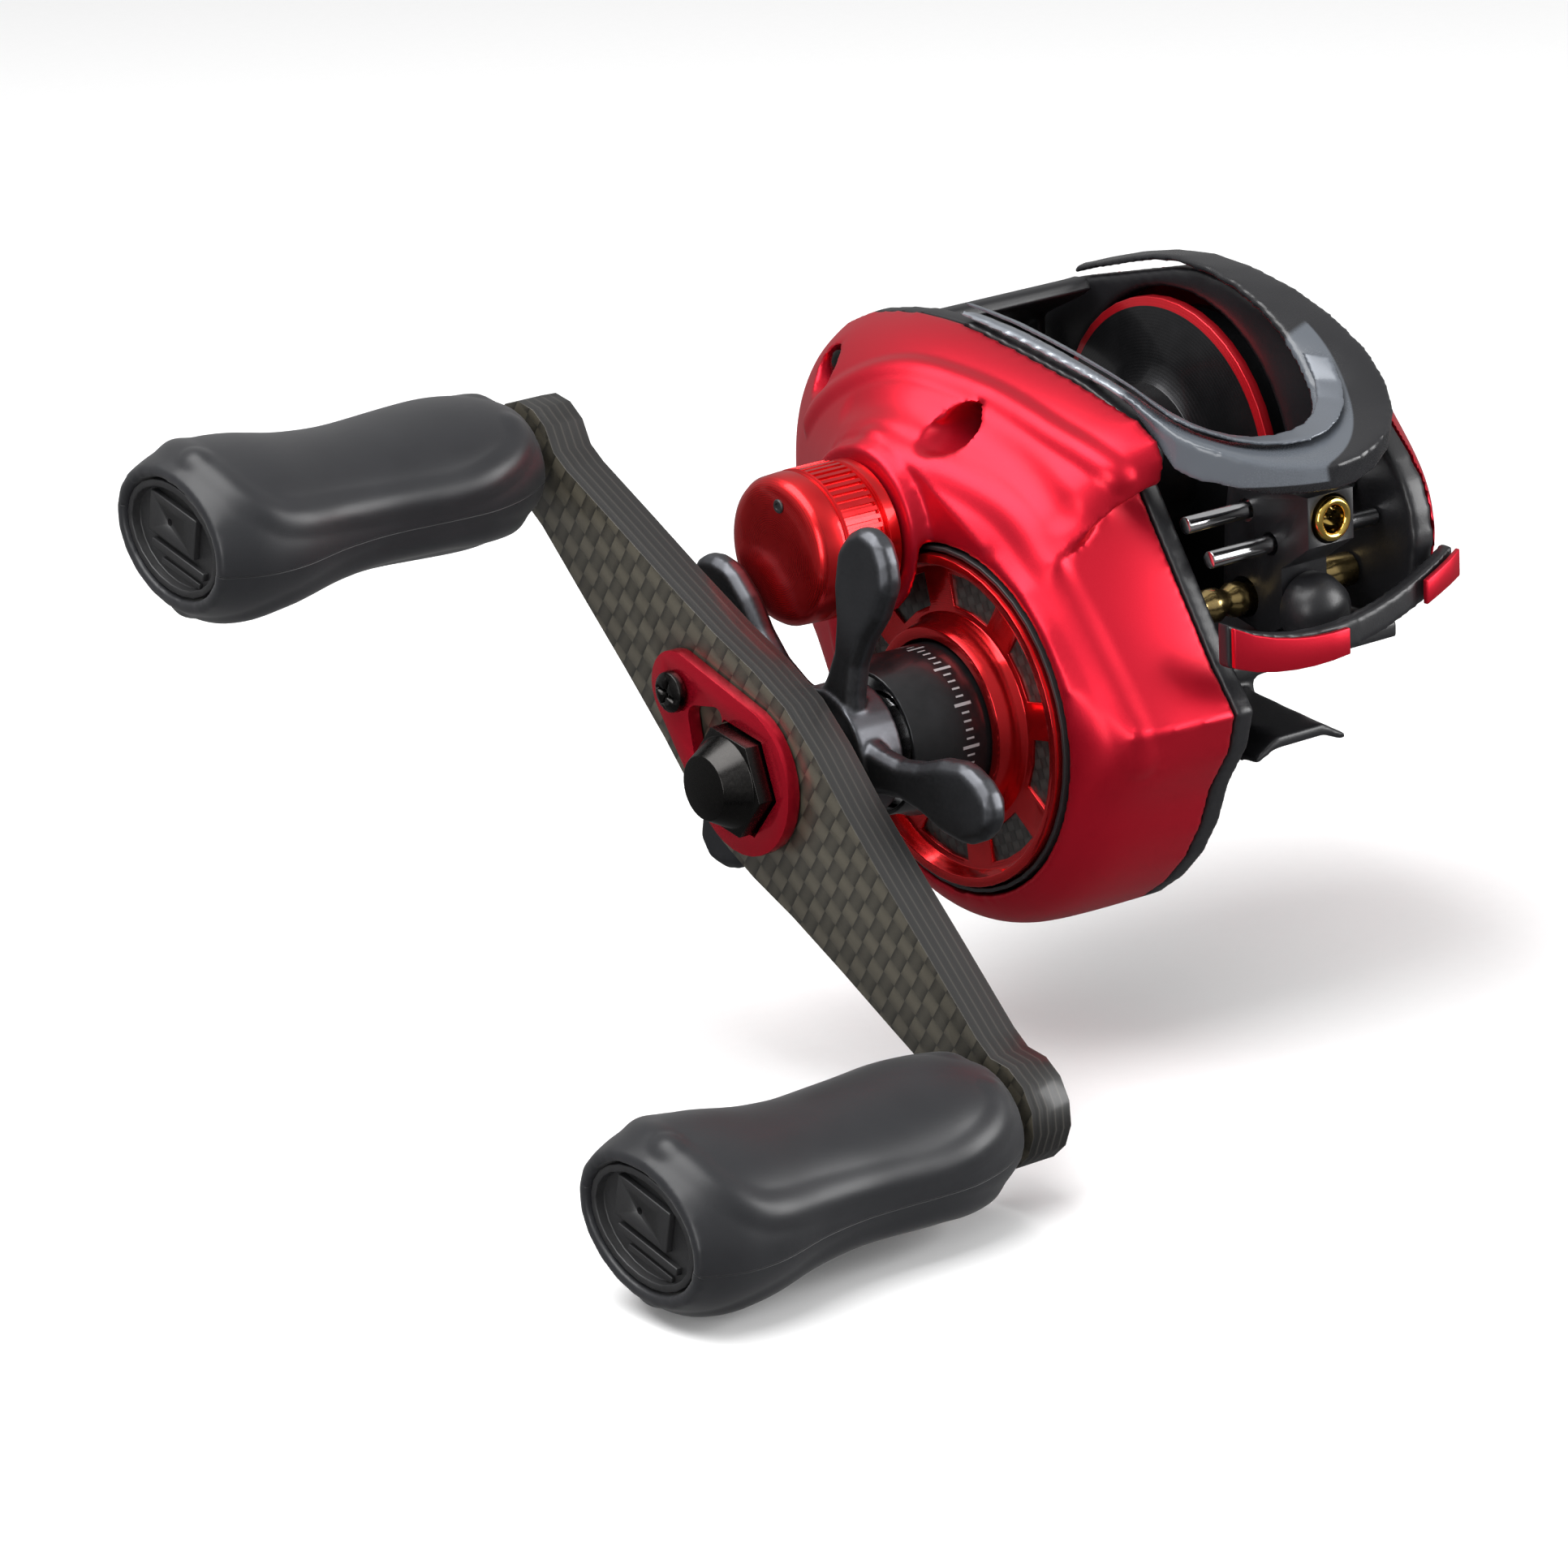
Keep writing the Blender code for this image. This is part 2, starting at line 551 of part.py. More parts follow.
def build_drag_ring(coats):
    disc, lip = RING_X + 1.7, RING_X
    inner = FACE_X + 2.4
    outline = [(inner, 9.3), (inner, DRAG_RADIUS), (lip, DRAG_RADIUS), (lip, DRAG_RADIUS - 1.0),
               (disc, DRAG_RADIUS - 1.6), (disc + 0.2, 11.6), (disc - 1.3, 11.0), (lip - 1.2, 10.6),
               (lip - 1.2, 9.3)]
    ring = turned("drag_ring", outline, CRANK, "frame_body", coats["red"], 48)
    windows = []
    count = 8
    for i in range(count):
        mid = 12 + 360 * i / count
        shape = arc(CRANK, 16.0, mid - 15, mid + 15, 4) + arc(CRANK, 12.4, mid + 13, mid - 13, 3)
        windows.append(prism("drag_window_%d" % i, shape, lip - 1, inner + 1, "frame_body"))
    combine(ring, windows)
    tube("drag_seal_ring", FACE_X + 2.0, FACE_X - 0.1, DRAG_RADIUS + GAP, DRAG_RADIUS + 0.75, CRANK,
         "frame_body", coats["black"], 40)
    hub_end = STAR_X + 0.9
    outline = [(inner, 5.4), (inner, 8.9), (lip - 6.6, 8.9), (lip - 8.4, 8.2), (hub_end, 8.0), (hub_end, 7.5),
               (lip - 0.6, 7.5), (lip - 0.6, 5.4)]
    turned("hub_sleeve", outline, CRANK, "frame_body", coats["black"], 32)
    tube("anti_reverse_bearing", lip - 1.0, lip - 8.5, 5.3, 7.2, CRANK, "frame_body", coats["steel"], 24)


def build_tension(coats):
    end = KNOB_X - KNOB_LENGTH
    tube("spool_bearing_handle_side", KNOB_X - 0.6, KNOB_X - 3.2, 1.4, 3.4, SPOOL, "frame_body",
         coats["steel"], 20)
    r = 8.2
    outline = [(end + 3.0, 0), (end + 3.0, 6.0), (KNOB_X, 6.0), (KNOB_X, r + 0.2), (KNOB_X - 2.6, r + 0.2),
               (KNOB_X - 2.9, r - 0.3), (KNOB_X - 3.5, r - 0.3), (KNOB_X - 3.8, r), (end + 1.3, r),
               (end, r - 0.9), (end, 0)]
    turned("tension_knob", outline, SPOOL, "tension_body", coats["red"], 36)


# Crank, gears and drag -------------------------------------------------------
def build_crank(coats):
    steel, body = coats["steel"], "crank_body"
    shaft_in = PLATE_IN - 0.2
    shaft_out = ARM_OUT - 4.2
    outline = [(shaft_in, 0), (shaft_in, SHAFT_RADIUS), (STAR_X - 1, SHAFT_RADIUS),
               (STAR_X - 1, SHAFT_RADIUS - 0.3), (shaft_out, SHAFT_RADIUS - 0.3), (shaft_out, 0)]
    turned("drive_shaft", outline, CRANK, body, steel, 20)
    tube("drive_shaft_bearing", PLATE_OUT + 0.2, PLATE_IN - 0.2, SHAFT_RADIUS + GAP, 5.2, CRANK,
         "frame_body", steel, 20)
    bore = SHAFT_RADIUS + GAP
    x = PLATE_OUT - 0.4
    gear("levelwind_drive_gear", DRIVE_TEETH, LEVELWIND_MODULE, WORM_TURN, x - 1.4, x, bore, CRANK, body,
         coats["white"])
    gear("levelwind_idler_gear", IDLER_TEETH, LEVELWIND_MODULE,
         WORM_TURN + math.pi + math.pi / IDLER_TEETH, x - 1.4, x, 1.3, IDLER, "idler_body", coats["white"])
    gear("worm_gear", WORM_TEETH, LEVELWIND_MODULE, WORM_TURN + math.pi + math.pi / WORM_TEETH,
         x - 1.4, x, 1.5, WORM, "worm_body", coats["white"])
    x = x - 1.8
    ratchet = []
    for i in range(12):
        a = math.tau * i / 12
        ratchet += [polar(0, 0, 9.6, a), polar(0, 0, 7.6, a + 0.10)]
    wheel = prism("ratchet_wheel", ratchet, x - 1.0, x, body, steel, CRANK)
    combine(wheel, [rod("ratchet_bore", x - 2, x + 1, bore, CRANK, body)])
    x = x - 1.4
    gear("main_gear", MAIN_TEETH, MAIN_MODULE, MESH_ANGLE, x - 2.8, x, bore, CRANK, body, coats["brass"])
    gear("pinion_gear", PINION_TEETH, MAIN_MODULE, MESH_ANGLE + math.pi + math.pi / PINION_TEETH,
         x - 3.2, x + 0.3, 1.25, SPOOL, "spool_body", coats["brass"])
    neck = turned("pinion_neck", [(x - 3.1, 1.25), (x - 3.1, 2.3), (x - 4.8, 2.3), (x - 4.8, 1.8), (x - 6.8, 1.8),
                                  (x - 6.8, 2.3), (x - 7.4, 2.3), (x - 7.4, 1.25)], SPOOL, "spool_body", None, 14)
    combine(bpy.data.objects["pinion_gear"], [neck], "UNION")
    build_clutch(coats, x - 5.5)
    x = x - 3.1
    for name, thick, inner, outer, coat in (
            ("carbon_washer_inner", 1.5, bore, 15.0, "carbon"), ("pressure_plate", 2.2, bore, 15.6, "steel"),
            ("carbon_washer_outer", 0.8, bore + 2.4, 17.3, "carbon")):
        tube(name, x, x - thick, inner, outer, CRANK, body, coats[coat], 32)
        x -= thick + GAP
    tube("one_way_sleeve", x + 0.8, STAR_X + 0.7, bore, 5.0, CRANK, body, steel, 24)


def build_clutch(coats, x):
    body = "yoke_body"
    yoke = block("clutch_yoke", (x - 0.4, SPOOL_Y - 9.5, SPOOL_Z - 2.0), (x + 0.4, SPOOL_Y + 9.5, SPOOL_Z + 6.5),
                 body, coats["steel"])
    slot = block("yoke_slot", (x - 1, SPOOL_Y - 2.1, SPOOL_Z - 3), (x + 1, SPOOL_Y + 2.1, SPOOL_Z), body)
    top = rod("yoke_round", x - 1, x + 1, 2.1, SPOOL, body)
    cuts = [slot, top]
    for side, at in zip(("front", "rear"), CLUTCH_POSTS):
        cuts.append(rod("yoke_hole_" + side, x - 1, x + 1, 1.1, at, body, steps=12))
        spring("clutch_spring_" + side, x - 1.0 - YOKE_TRAVEL, FACE_X + 4.0, 1.35, 0.25, at, coats["steel"])
    combine(yoke, cuts)


def spring(name, x0, x1, radius, wire, axis, coat, turns=3, per_turn=8):
    """A short helix of square wire round a post along X."""
    rings = []
    total = turns * per_turn
    for i in range(total + 1):
        a = math.tau * i / per_turn
        x = x0 + (x1 - x0) * i / total
        ring = []
        for dr, dx in ((-wire, -wire), (wire, -wire), (wire, wire), (-wire, wire)):
            y, z = polar(*axis, radius + dr, a)
            ring.append((x + dx * (1 if x1 > x0 else -1), y, z))
        rings.append(ring)
    return loft(name, rings, "frame_body", coat)


def build_star(coats):
    x0, x1 = STAR_X, STAR_X - 5.6
    star = tube("star_drag", x0, x1, SHAFT_RADIUS + GAP, 7.4, CRANK, "star_body", coats["black"], 32)
    arms = []
    for k in range(STAR_ARMS):
        turn = math.radians(109 + 360 / STAR_ARMS * k)
        half = [(5.0, 3.4), (8.5, 2.5), (12.0, 2.1), (15.5, 2.7), (19.0, 4.0), (23.0, 4.5),
                (STAR_RADIUS - 2.4, 3.3), (STAR_RADIUS - 0.5, 1.5)]
        outline = [(r, w) for r, w in half] + [(r, -w) for r, w in reversed(half)]
        shape = [polar(*CRANK, math.hypot(r, w), turn + math.atan2(w, r)) for r, w in outline]
        arm = prism("star_arm_%d" % k, shape, x1 + 0.4, x1 + 3.4, "star_body")
        bevel(arm, 0.9, 1, 30)
        arms.append(arm)
    combine(star, arms, "UNION")
    tube("handle_spacer", x1 - 0.6, ARM_X + GAP, SHAFT_RADIUS + 0.1, 4.8, CRANK, "crank_body",
         coats["steel"], 24)


def along_arm(a, b):
    """A point `a` along the arm towards the upper grip and `b` across it."""
    uy, uz = -math.cos(ARM_TURN), math.sin(ARM_TURN)
    return CRANK_Y + a * uy - b * uz, CRANK_Z + a * uz + b * uy


def arm_outline(margin=0.0):
    """Lens-shaped arm, wide at the shaft, necked behind round grip bosses."""
    half = HANDLE_LENGTH / 2
    side = [(0.0, 10.6), (6.0, 9.9), (13.0, 8.4), (22.0, 7.0), (31.0, 5.8), (half - 6.6, 4.4)]
    boss = [(half + 5.9 * math.cos(a), 5.9 * math.sin(a)) for a in
            [math.radians(d) for d in (132, 104, 78, 52, 26, 0)]]
    quarter = side + boss
    upper = [(a, b) for a, b in quarter]
    right = upper + [(a, -b) for a, b in reversed(upper[1:-1])]
    full = right + [(0.0, -10.6)] + [(-a, -b) for a, b in upper[1:]]
    full += [(-a, b) for a, b in reversed(upper[1:-1])]
    return [along_arm(a, b) for a, b in full]


def build_handle(coats):
    body = "crank_body"
    arm = prism("handle_arm", arm_outline(), ARM_OUT, ARM_X, body, coats["carbon"])
    cuts = [rod("arm_bore", ARM_OUT - 1, ARM_X + 1, SHAFT_RADIUS + 0.05, CRANK, body, steps=20)]
    for name, at in (("upper", GRIP_UP), ("lower", GRIP_LOW)):
        cuts.append(rod("arm_grip_bore_" + name, ARM_OUT - 1, ARM_X + 1, 2.1, at, body))
    screw_at = along_arm(12.8, 0.0)
    cuts.append(rod("arm_screw_bore", ARM_OUT - 1, ARM_OUT + 3, 1.3, screw_at, body))
    combine(arm, cuts)
    x = ARM_OUT - GAP
    # Teardrop bracket that keeps the nut from turning.
    body_outline = discs((CRANK, 8.4), (screw_at, 4.3), count=32)
    plate = prism("nut_retainer", body_outline, x - 1.5, x, body, coats["red"])
    hexagon = [polar(*CRANK, 6.4, math.radians(60 * i + 10)) for i in range(6)]
    window = discs((along_arm(8.6, 0.0), 1.5), (along_arm(6.4, 2.6), 1.2), (along_arm(6.4, -2.6), 1.2), count=16)
    combine(plate, [prism("retainer_hexagon", hexagon, x - 3, x + 1, body),
                    prism("retainer_window", window, x - 3, x + 1, body),
                    rod("retainer_screw_bore", x - 3, x + 1, 1.3, screw_at, body)])
    outline = [(x - 3.0, 0), (x - 3.0, 1.4), (x - 2.6, 2.2), (x - 1.8, 2.3), (x - 1.8, 1.0),
               (x + 2.4, 1.0), (x + 2.4, 0)]
    turned("retainer_screw", outline, screw_at, body, coats["black_steel"], 18)
    hexagon = [polar(*CRANK, 6.0, math.radians(60 * i + 10)) for i in range(6)]
    nut = prism("handle_nut", hexagon, x - 3.4, x, body, coats["black_steel"])
    cap = turned("nut_cap", [(x - 6.2, 0), (x - 6.2, 3.5), (x - 3.2, 5.1), (x - 2.0, 5.1), (x - 2.0, 0)],
                 CRANK, body, None, 32)
    combine(nut, [cap], "UNION")
    combine(nut, [rod("nut_bore", x - 4.6, x + 1, SHAFT_RADIUS + 0.05, CRANK, body, steps=20)])


def grip_sections(start, end):
    """Oval rings of a grip: bulb at the outer end, waist, softer inner swell."""
    stations = [(0.0, 6.4, 5.6), (0.03, 7.6, 6.7), (0.09, 9.0, 7.7), (0.2, 10.2, 8.3), (0.34, 10.0, 8.0),
                (0.5, 9.6, 7.6), (0.64, 10.2, 8.1), (0.77, 11.8, 9.3), (0.88, 12.0, 9.6),
                (0.95, 11.2, 8.8), (0.985, 10.4, 7.9), (1.0, 9.9, 7.3)]
    tilt = math.radians(10)
    rings = []
    for s, long, short in stations:
        x = start + (end - start) * s
        ring = []
        for i in range(20):
            a = math.tau * i / 20
            p = Vector((long * math.cos(a), short * math.sin(a)))
            ring.append((x, p.x * math.cos(tilt) - p.y * math.sin(tilt),
                         p.x * math.sin(tilt) + p.y * math.cos(tilt)))
        rings.append(ring)
    return rings


def build_grips(coats):
    for name, at in (("upper", GRIP_UP), ("lower", GRIP_LOW)):
        body = "grip_%s_body" % name
        grip = loft("grip_" + name, grip_sections(GRIP_X, GRIP_END), body, coats["rubber"], (0.0, *at))
        combine(grip, [rod("grip_bore_" + name, GRIP_X + 1, GRIP_END - 1, 2.2, at, body, steps=16),
                       oval("grip_mouth_" + name, GRIP_END - 1, GRIP_END + 4.6, 8.8, 6.3, at, body)])
        cap = oval("grip_cap_" + name, GRIP_END + 0.5, GRIP_END + 4.2, 8.5, 6.0, at, body)
        cap.data.materials.append(coats["black"])
        cap.hide_render = False
        recess = oval("cap_recess_" + name, GRIP_END - 1, GRIP_END + 1.6, 7.7, 5.2, at, body)
        combine(cap, [recess, rod("cap_bore_" + name, GRIP_END + 2.4, GRIP_END + 5, 2.4, at, body, steps=16)])
        rod("grip_bolt_" + name, ARM_X + 0.6, GRIP_END + 8.0, 1.8, at, "crank_body", coats["steel"], 16)


def oval(name, x0, x1, long, short, at, body):
    tilt = math.radians(10)
    points = []
    for i in range(24):
        a = math.tau * i / 24
        p = Vector((long * math.cos(a), short * math.sin(a)))
        points.append((p.x * math.cos(tilt) - p.y * math.sin(tilt),
                       p.x * math.sin(tilt) + p.y * math.cos(tilt)))
    return prism(name, points, x0, x1, body, None, at)


# Spool -----------------------------------------------------------------------
def build_spool(coats):
    left, right, rim = SPOOL_LEFT, SPOOL_RIGHT, SPOOL_RADIUS
    body = "spool_body"
    bore = 1.9
    outline = [(left + 0.5, bore), (left + 0.5, rim - 0.7), (left, rim), (left + 1.2, rim), (left + 2.6, 11.0),
               (left + 4.0, 8.6), (right - 4.0, 8.6), (right - 2.6, 11.0), (right - 1.2, rim), (right, rim),
               (right - 0.5, rim - 0.7), (right - 0.5, bore)]
    turned("spool", outline, SPOOL, body, coats["black"], 40)
    shaft = [(FACE_X + 1.0 - 6.0, 0), (FACE_X + 1.0 - 6.0, 1.0), (PLATE_OUT - 0.5, 1.0), (PLATE_OUT + 0.5, 1.6),
             (PALM_FACE - 6.4, 1.6), (PALM_FACE - 6.4, 0)]
    turned("spool_shaft", shaft, SPOOL, body, coats["steel"], 16)
    tube("pinion_bearing", PLATE_OUT + 0.2, PLATE_IN - 0.2, 2.0, 4.6, SPOOL, "frame_body", coats["steel"], 20)
    x = PALM_OUT + 1.4
    hub = [(x - 3.6, 1.9), (x - 3.6, 8.6), (x - 2.6, 9.0), (x - 2.0, 9.0), (x - 1.6, 6.0), (x - 1.2, 1.9)]
    turned("brake_hub", hub, SPOOL, body, coats["white"], 32)
    plate = [(x, 4.9), (x, SPOOL_RADIUS - 2.2), (x + 1.2, SPOOL_RADIUS - 2.2), (x + 1.2, 6.3), (x + 4.4, 6.3),
             (x + 4.4, 4.9)]
    turned("brake_plate", plate, SPOOL, "frame_body", coats["black"], 40)
    tube("spool_bearing_palm_side", x + 0.3, x + 2.6, 1.9, 4.6, SPOOL, "frame_body", coats["steel"], 20)
    tube("magnet_ring", x + 1.6, x + 3.6, 7.0, 10.5, SPOOL, "frame_body", coats["steel"], 32)


def build_palm_cover(coats):
    cover = loft("palm_side_cover", palm_sections(0.0), "frame_body", coats["red"])
    hollow = loft("palm_hollow", palm_sections(COVER_WALL), "frame_body")
    combine(cover, [hollow, rod("dial_bore", PALM_FACE - 4, PALM_FACE + 2, 2.3, SPOOL, "frame_body")])
    x = PALM_FACE + GAP
    dial = turned("brake_dial", [(x - 5.0, 0), (x - 5.0, 2.0), (x, 2.0), (x, 8.6), (x + 1.6, 8.6), (x + 2.2, 8.0),
                                 (x + 2.2, 0)], SPOOL, "dial_body", coats["black"], 40)
    grip = block("dial_rib", (x + 0.8, SPOOL_Y - 1.2, SPOOL_Z - 7.2), (x + 3.0, SPOOL_Y + 1.2, SPOOL_Z + 7.2),
                 "dial_body")
    combine(dial, [grip], "UNION")


# Levelwind -------------------------------------------------------------------
def build_levelwind(coats):
    left, right = PLATE_IN + GAP, PALM_IN - GAP
    steel = coats["steel"]
    outline = [(PLATE_OUT - 2.0, 0), (PLATE_OUT - 2.0, 1.2), (left + 0.4, 1.2), (left + 0.4, 1.9)]
    x = left + 1.0
    while x < right - 3.0:
        outline += [(x, 1.9), (x + 0.7, 1.5), (x + 1.4, 1.5), (x + 2.1, 1.9)]
        x += 3.4
    outline += [(right, 1.9), (right, 0)]
    turned("worm_shaft", outline, WORM, "worm_body", steel, 12)
    rod("guide_bar_front", left, right, 0.95, BAR_FRONT, "frame_body", steel, 14)
    rod("guide_bar_rear", left, right, 0.95, BAR_REAR, "frame_body", steel, 14)
    mid = (PLATE_IN + PALM_IN) / 2
    half = 3.2
    side = [(-32.6, 23.4), (-32.6, 29.0), (-27.5, 29.0), (-20.0, 28.4), (-19.2, 24.0), (-18.6, 14.0), (-25.6, 12.4),
            (-28.2, 14.0), (-28.2, 20.4)]
    carriage = prism("line_guide", side, mid - half, mid + half, "guide_body", coats["black"])
    cuts = []
    for name, at, r in (("front", BAR_FRONT, 1.3), ("rear", BAR_REAR, 1.3), ("worm", WORM, 2.3)):
        cuts.append(rod("carriage_hole_" + name, mid - 6, mid + 6, r, at, "guide_body", steps=20))
    eye = rod("carriage_eye", -3.0, 16.0, 2.75, (0, 0), "guide_body", steps=24)
    eye.rotation_euler = (0, 0, math.radians(90))
    eye.location = Vector((mid, -34.0, EYE_Z)) * MM - BODIES["guide_body"] * MM
    seat = rod("carriage_pawl_hole", 0.0, 6.0, 1.35, (0, 0), "guide_body", steps=12)
    seat.rotation_euler = (0, 0, math.radians(90))
    seat.location = Vector((mid, -29.0, WORM[1])) * MM - BODIES["guide_body"] * MM
    combine(carriage, cuts + [eye, seat])
    ring = turned("guide_ring", [(0.0, 1.5), (0.0, 2.1), (0.3, 2.45), (3.2, 2.45), (3.6, 1.5)], (0, 0),
                  "guide_body", coats["gold"], 24)
    ring.rotation_euler = (0, 0, math.radians(90))
    ring.location = Vector((mid, -33.4, EYE_Z)) * MM - BODIES["guide_body"] * MM
    pawl = turned("pawl", [(0, 0), (0, 1.0), (3.2, 1.0), (3.6, 0.6), (3.6, 0)], (0, 0), "guide_body", steel, 12)
    pawl.rotation_euler = (0, 0, math.radians(90))
    pawl.location = Vector((mid, -28.0, WORM[1])) * MM - BODIES["guide_body"] * MM
    cap = turned("pawl_cap", [(0, 0), (0.3, 2.0), (1.4, 3.4), (3.2, 4.0), (4.6, 4.0), (4.6, 0)],
                 (0, 0), "guide_body", coats["black"], 28)
    cap.rotation_euler = (0, 0, math.radians(90))
    cap.location = Vector((mid, -33.2, 15.6)) * MM - BODIES["guide_body"] * MM


EYE_Z = 26.2


def build_thumb_bar(coats):
    section = [(18.6, 40.4), (19.4, 41.7), (21.4, 41.5), (25.0, 39.6), (28.4, 37.8), (30.9, 35.6), (31.2, 33.6),
               (29.8, 33.2), (28.2, 35.4), (24.8, 37.2), (20.2, 39.4)]
    bar = prism("thumb_bar", section, PLATE_IN + GAP, PALM_IN - 1.0, "thumb_body", coats["black"])
    legs = []
    for x in (PLATE_IN + GAP, PALM_IN - 1.0 - 1.4):
        legs.append(block("thumb_leg_%d" % round(x), (x, 27.0, 24.0), (x + 1.4, 30.0, 37.0), "thumb_body"))
    combine(bar, legs, "UNION")


def build_all():
    clear_scene()
    coats = {
        "red": material("red_anodised", (0.62, 0.02, 0.04), 0.35, 0.75),
        "black": material("black_composite", (0.02, 0.02, 0.022), 0.45, 0.0),
        "grey": material("slate_inlay", (0.16, 0.18, 0.21), 0.35, 0.2),
        "steel": material("stainless_steel", (0.55, 0.55, 0.56), 0.25, 1.0),
        "black_steel": material("black_oxide_steel", (0.04, 0.04, 0.04), 0.35, 0.8),
        "brass": material("brass", (0.66, 0.48, 0.2), 0.3, 1.0),
        "gold": material("gold_ring", (0.85, 0.6, 0.18), 0.2, 1.0),
        "carbon": material("carbon_fibre", (0.07, 0.07, 0.065), 0.4, 0.1),
        "rubber": material("soft_touch_grip", (0.025, 0.025, 0.028), 0.6, 0.0),
        "white": material("gear_plastic", (0.75, 0.75, 0.72), 0.5, 0.0),
    }
    mid = (PLATE_IN + PALM_IN) / 2
    add_body("frame_body", 0, 0, 0)
    add_body("crank_body", 0, *CRANK)
    add_body("star_body", 0, *CRANK, "crank_body")
    add_body("grip_upper_body", 0, *GRIP_UP, "crank_body")
    add_body("grip_lower_body", 0, *GRIP_LOW, "crank_body")
    add_body("spool_body", 0, *SPOOL)
    add_body("tension_body", 0, *SPOOL)
    add_body("dial_body", 0, *SPOOL)
    add_body("idler_body", 0, *IDLER)
    add_body("worm_body", 0, *WORM)
    add_body("guide_body", mid, *BAR_FRONT)
    add_body("thumb_body", mid, 25.0, 40.0)
    add_body("yoke_body", 0, *SPOOL)
    build_frame(coats)
    build_hood(coats)
    build_brace(coats)
    build_handle_cover(coats)
    build_drag_ring(coats)
    build_tension(coats)
    build_crank(coats)
    build_star(coats)
    build_handle(coats)
    build_grips(coats)
    build_spool(coats)
    build_palm_cover(coats)
    build_levelwind(coats)
    build_thumb_bar(coats)


build_all()
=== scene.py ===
# %% [markdown]
# A baitcasting reel in a light studio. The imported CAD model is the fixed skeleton: every screw, gear
# and cover already sits in its place there. This lesson gives each surface the finish of the real
# piece, adds the small visible details, and sets up a light and a camera.

import json
from math import atan2, pi, radians

import bmesh
import bpy
import numpy as np
from mathutils import Matrix, Vector
from mathutils.kdtree import KDTree

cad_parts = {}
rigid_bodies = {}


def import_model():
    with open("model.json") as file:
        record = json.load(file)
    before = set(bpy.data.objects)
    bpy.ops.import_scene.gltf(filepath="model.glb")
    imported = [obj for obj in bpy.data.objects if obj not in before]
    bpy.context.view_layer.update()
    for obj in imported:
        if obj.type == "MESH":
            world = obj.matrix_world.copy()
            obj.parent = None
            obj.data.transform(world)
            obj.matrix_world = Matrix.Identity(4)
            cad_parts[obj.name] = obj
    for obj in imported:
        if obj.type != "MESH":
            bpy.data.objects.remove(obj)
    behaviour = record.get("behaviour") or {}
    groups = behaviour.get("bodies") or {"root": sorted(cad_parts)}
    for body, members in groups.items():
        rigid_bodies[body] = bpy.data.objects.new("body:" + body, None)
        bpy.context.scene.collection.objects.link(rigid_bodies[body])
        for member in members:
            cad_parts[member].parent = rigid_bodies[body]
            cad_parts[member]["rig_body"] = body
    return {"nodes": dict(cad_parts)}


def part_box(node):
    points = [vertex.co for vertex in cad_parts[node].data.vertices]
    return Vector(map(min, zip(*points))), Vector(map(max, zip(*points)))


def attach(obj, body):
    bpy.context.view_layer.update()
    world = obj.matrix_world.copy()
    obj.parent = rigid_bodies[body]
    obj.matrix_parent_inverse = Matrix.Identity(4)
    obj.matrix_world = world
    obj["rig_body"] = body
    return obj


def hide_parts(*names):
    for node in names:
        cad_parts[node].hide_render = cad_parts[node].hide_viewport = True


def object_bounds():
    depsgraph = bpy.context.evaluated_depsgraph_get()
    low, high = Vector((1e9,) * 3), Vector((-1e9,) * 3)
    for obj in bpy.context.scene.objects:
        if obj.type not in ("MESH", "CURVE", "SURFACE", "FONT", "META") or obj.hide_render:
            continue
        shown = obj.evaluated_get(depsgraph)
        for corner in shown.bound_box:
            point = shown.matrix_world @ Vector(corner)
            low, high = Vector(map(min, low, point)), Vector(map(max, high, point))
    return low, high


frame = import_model()
cad_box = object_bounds()
nodes = frame["nodes"]
print("nodes:", len(nodes), "box:", [round(v * 1000, 1) for v in (*cad_box[0], *cad_box[1])])

# %% [markdown]
# A finish is a small network of nodes. Writing sums as ordinary arithmetic keeps each one readable,
# so this class wraps one output socket and adds a Math node for each sum.


# %% Sums on sockets
class Amount:
    """A number that varies over a surface."""

    def __init__(self, finish, socket):
        self.finish = finish
        self.socket = socket

    def sum(self, operation, first, second=0.0):
        inputs = {0: first, 1: second}
        made = self.finish.node("ShaderNodeMath", {"operation": operation}, inputs)
        return Amount(self.finish, made.outputs[0])

    def __add__(self, other):
        return self.sum("ADD", self, other)

    def __radd__(self, other):
        return self.sum("ADD", other, self)

    def __sub__(self, other):
        return self.sum("SUBTRACT", self, other)

    def __rsub__(self, other):
        return self.sum("SUBTRACT", other, self)

    def __mul__(self, other):
        return self.sum("MULTIPLY", self, other)

    def __rmul__(self, other):
        return self.sum("MULTIPLY", other, self)

    def __truediv__(self, other):
        return self.sum("DIVIDE", self, other)

    def __pow__(self, other):
        return self.sum("POWER", self, other)

    def __mod__(self, other):
        return self.sum("FLOORED_MODULO", self, other)

    def __gt__(self, other):
        return self.sum("GREATER_THAN", self, other)

    def __lt__(self, other):
        return self.sum("LESS_THAN", self, other)

    def __abs__(self):
        return self.sum("ABSOLUTE", self)


print("sums ready")

# %% [markdown]
# Each finish owns one material. Constants go straight on the shader's sockets, and only what
# changes over the surface is linked. Patterns read Object coordinates, so they stay on the piece
# when it turns.


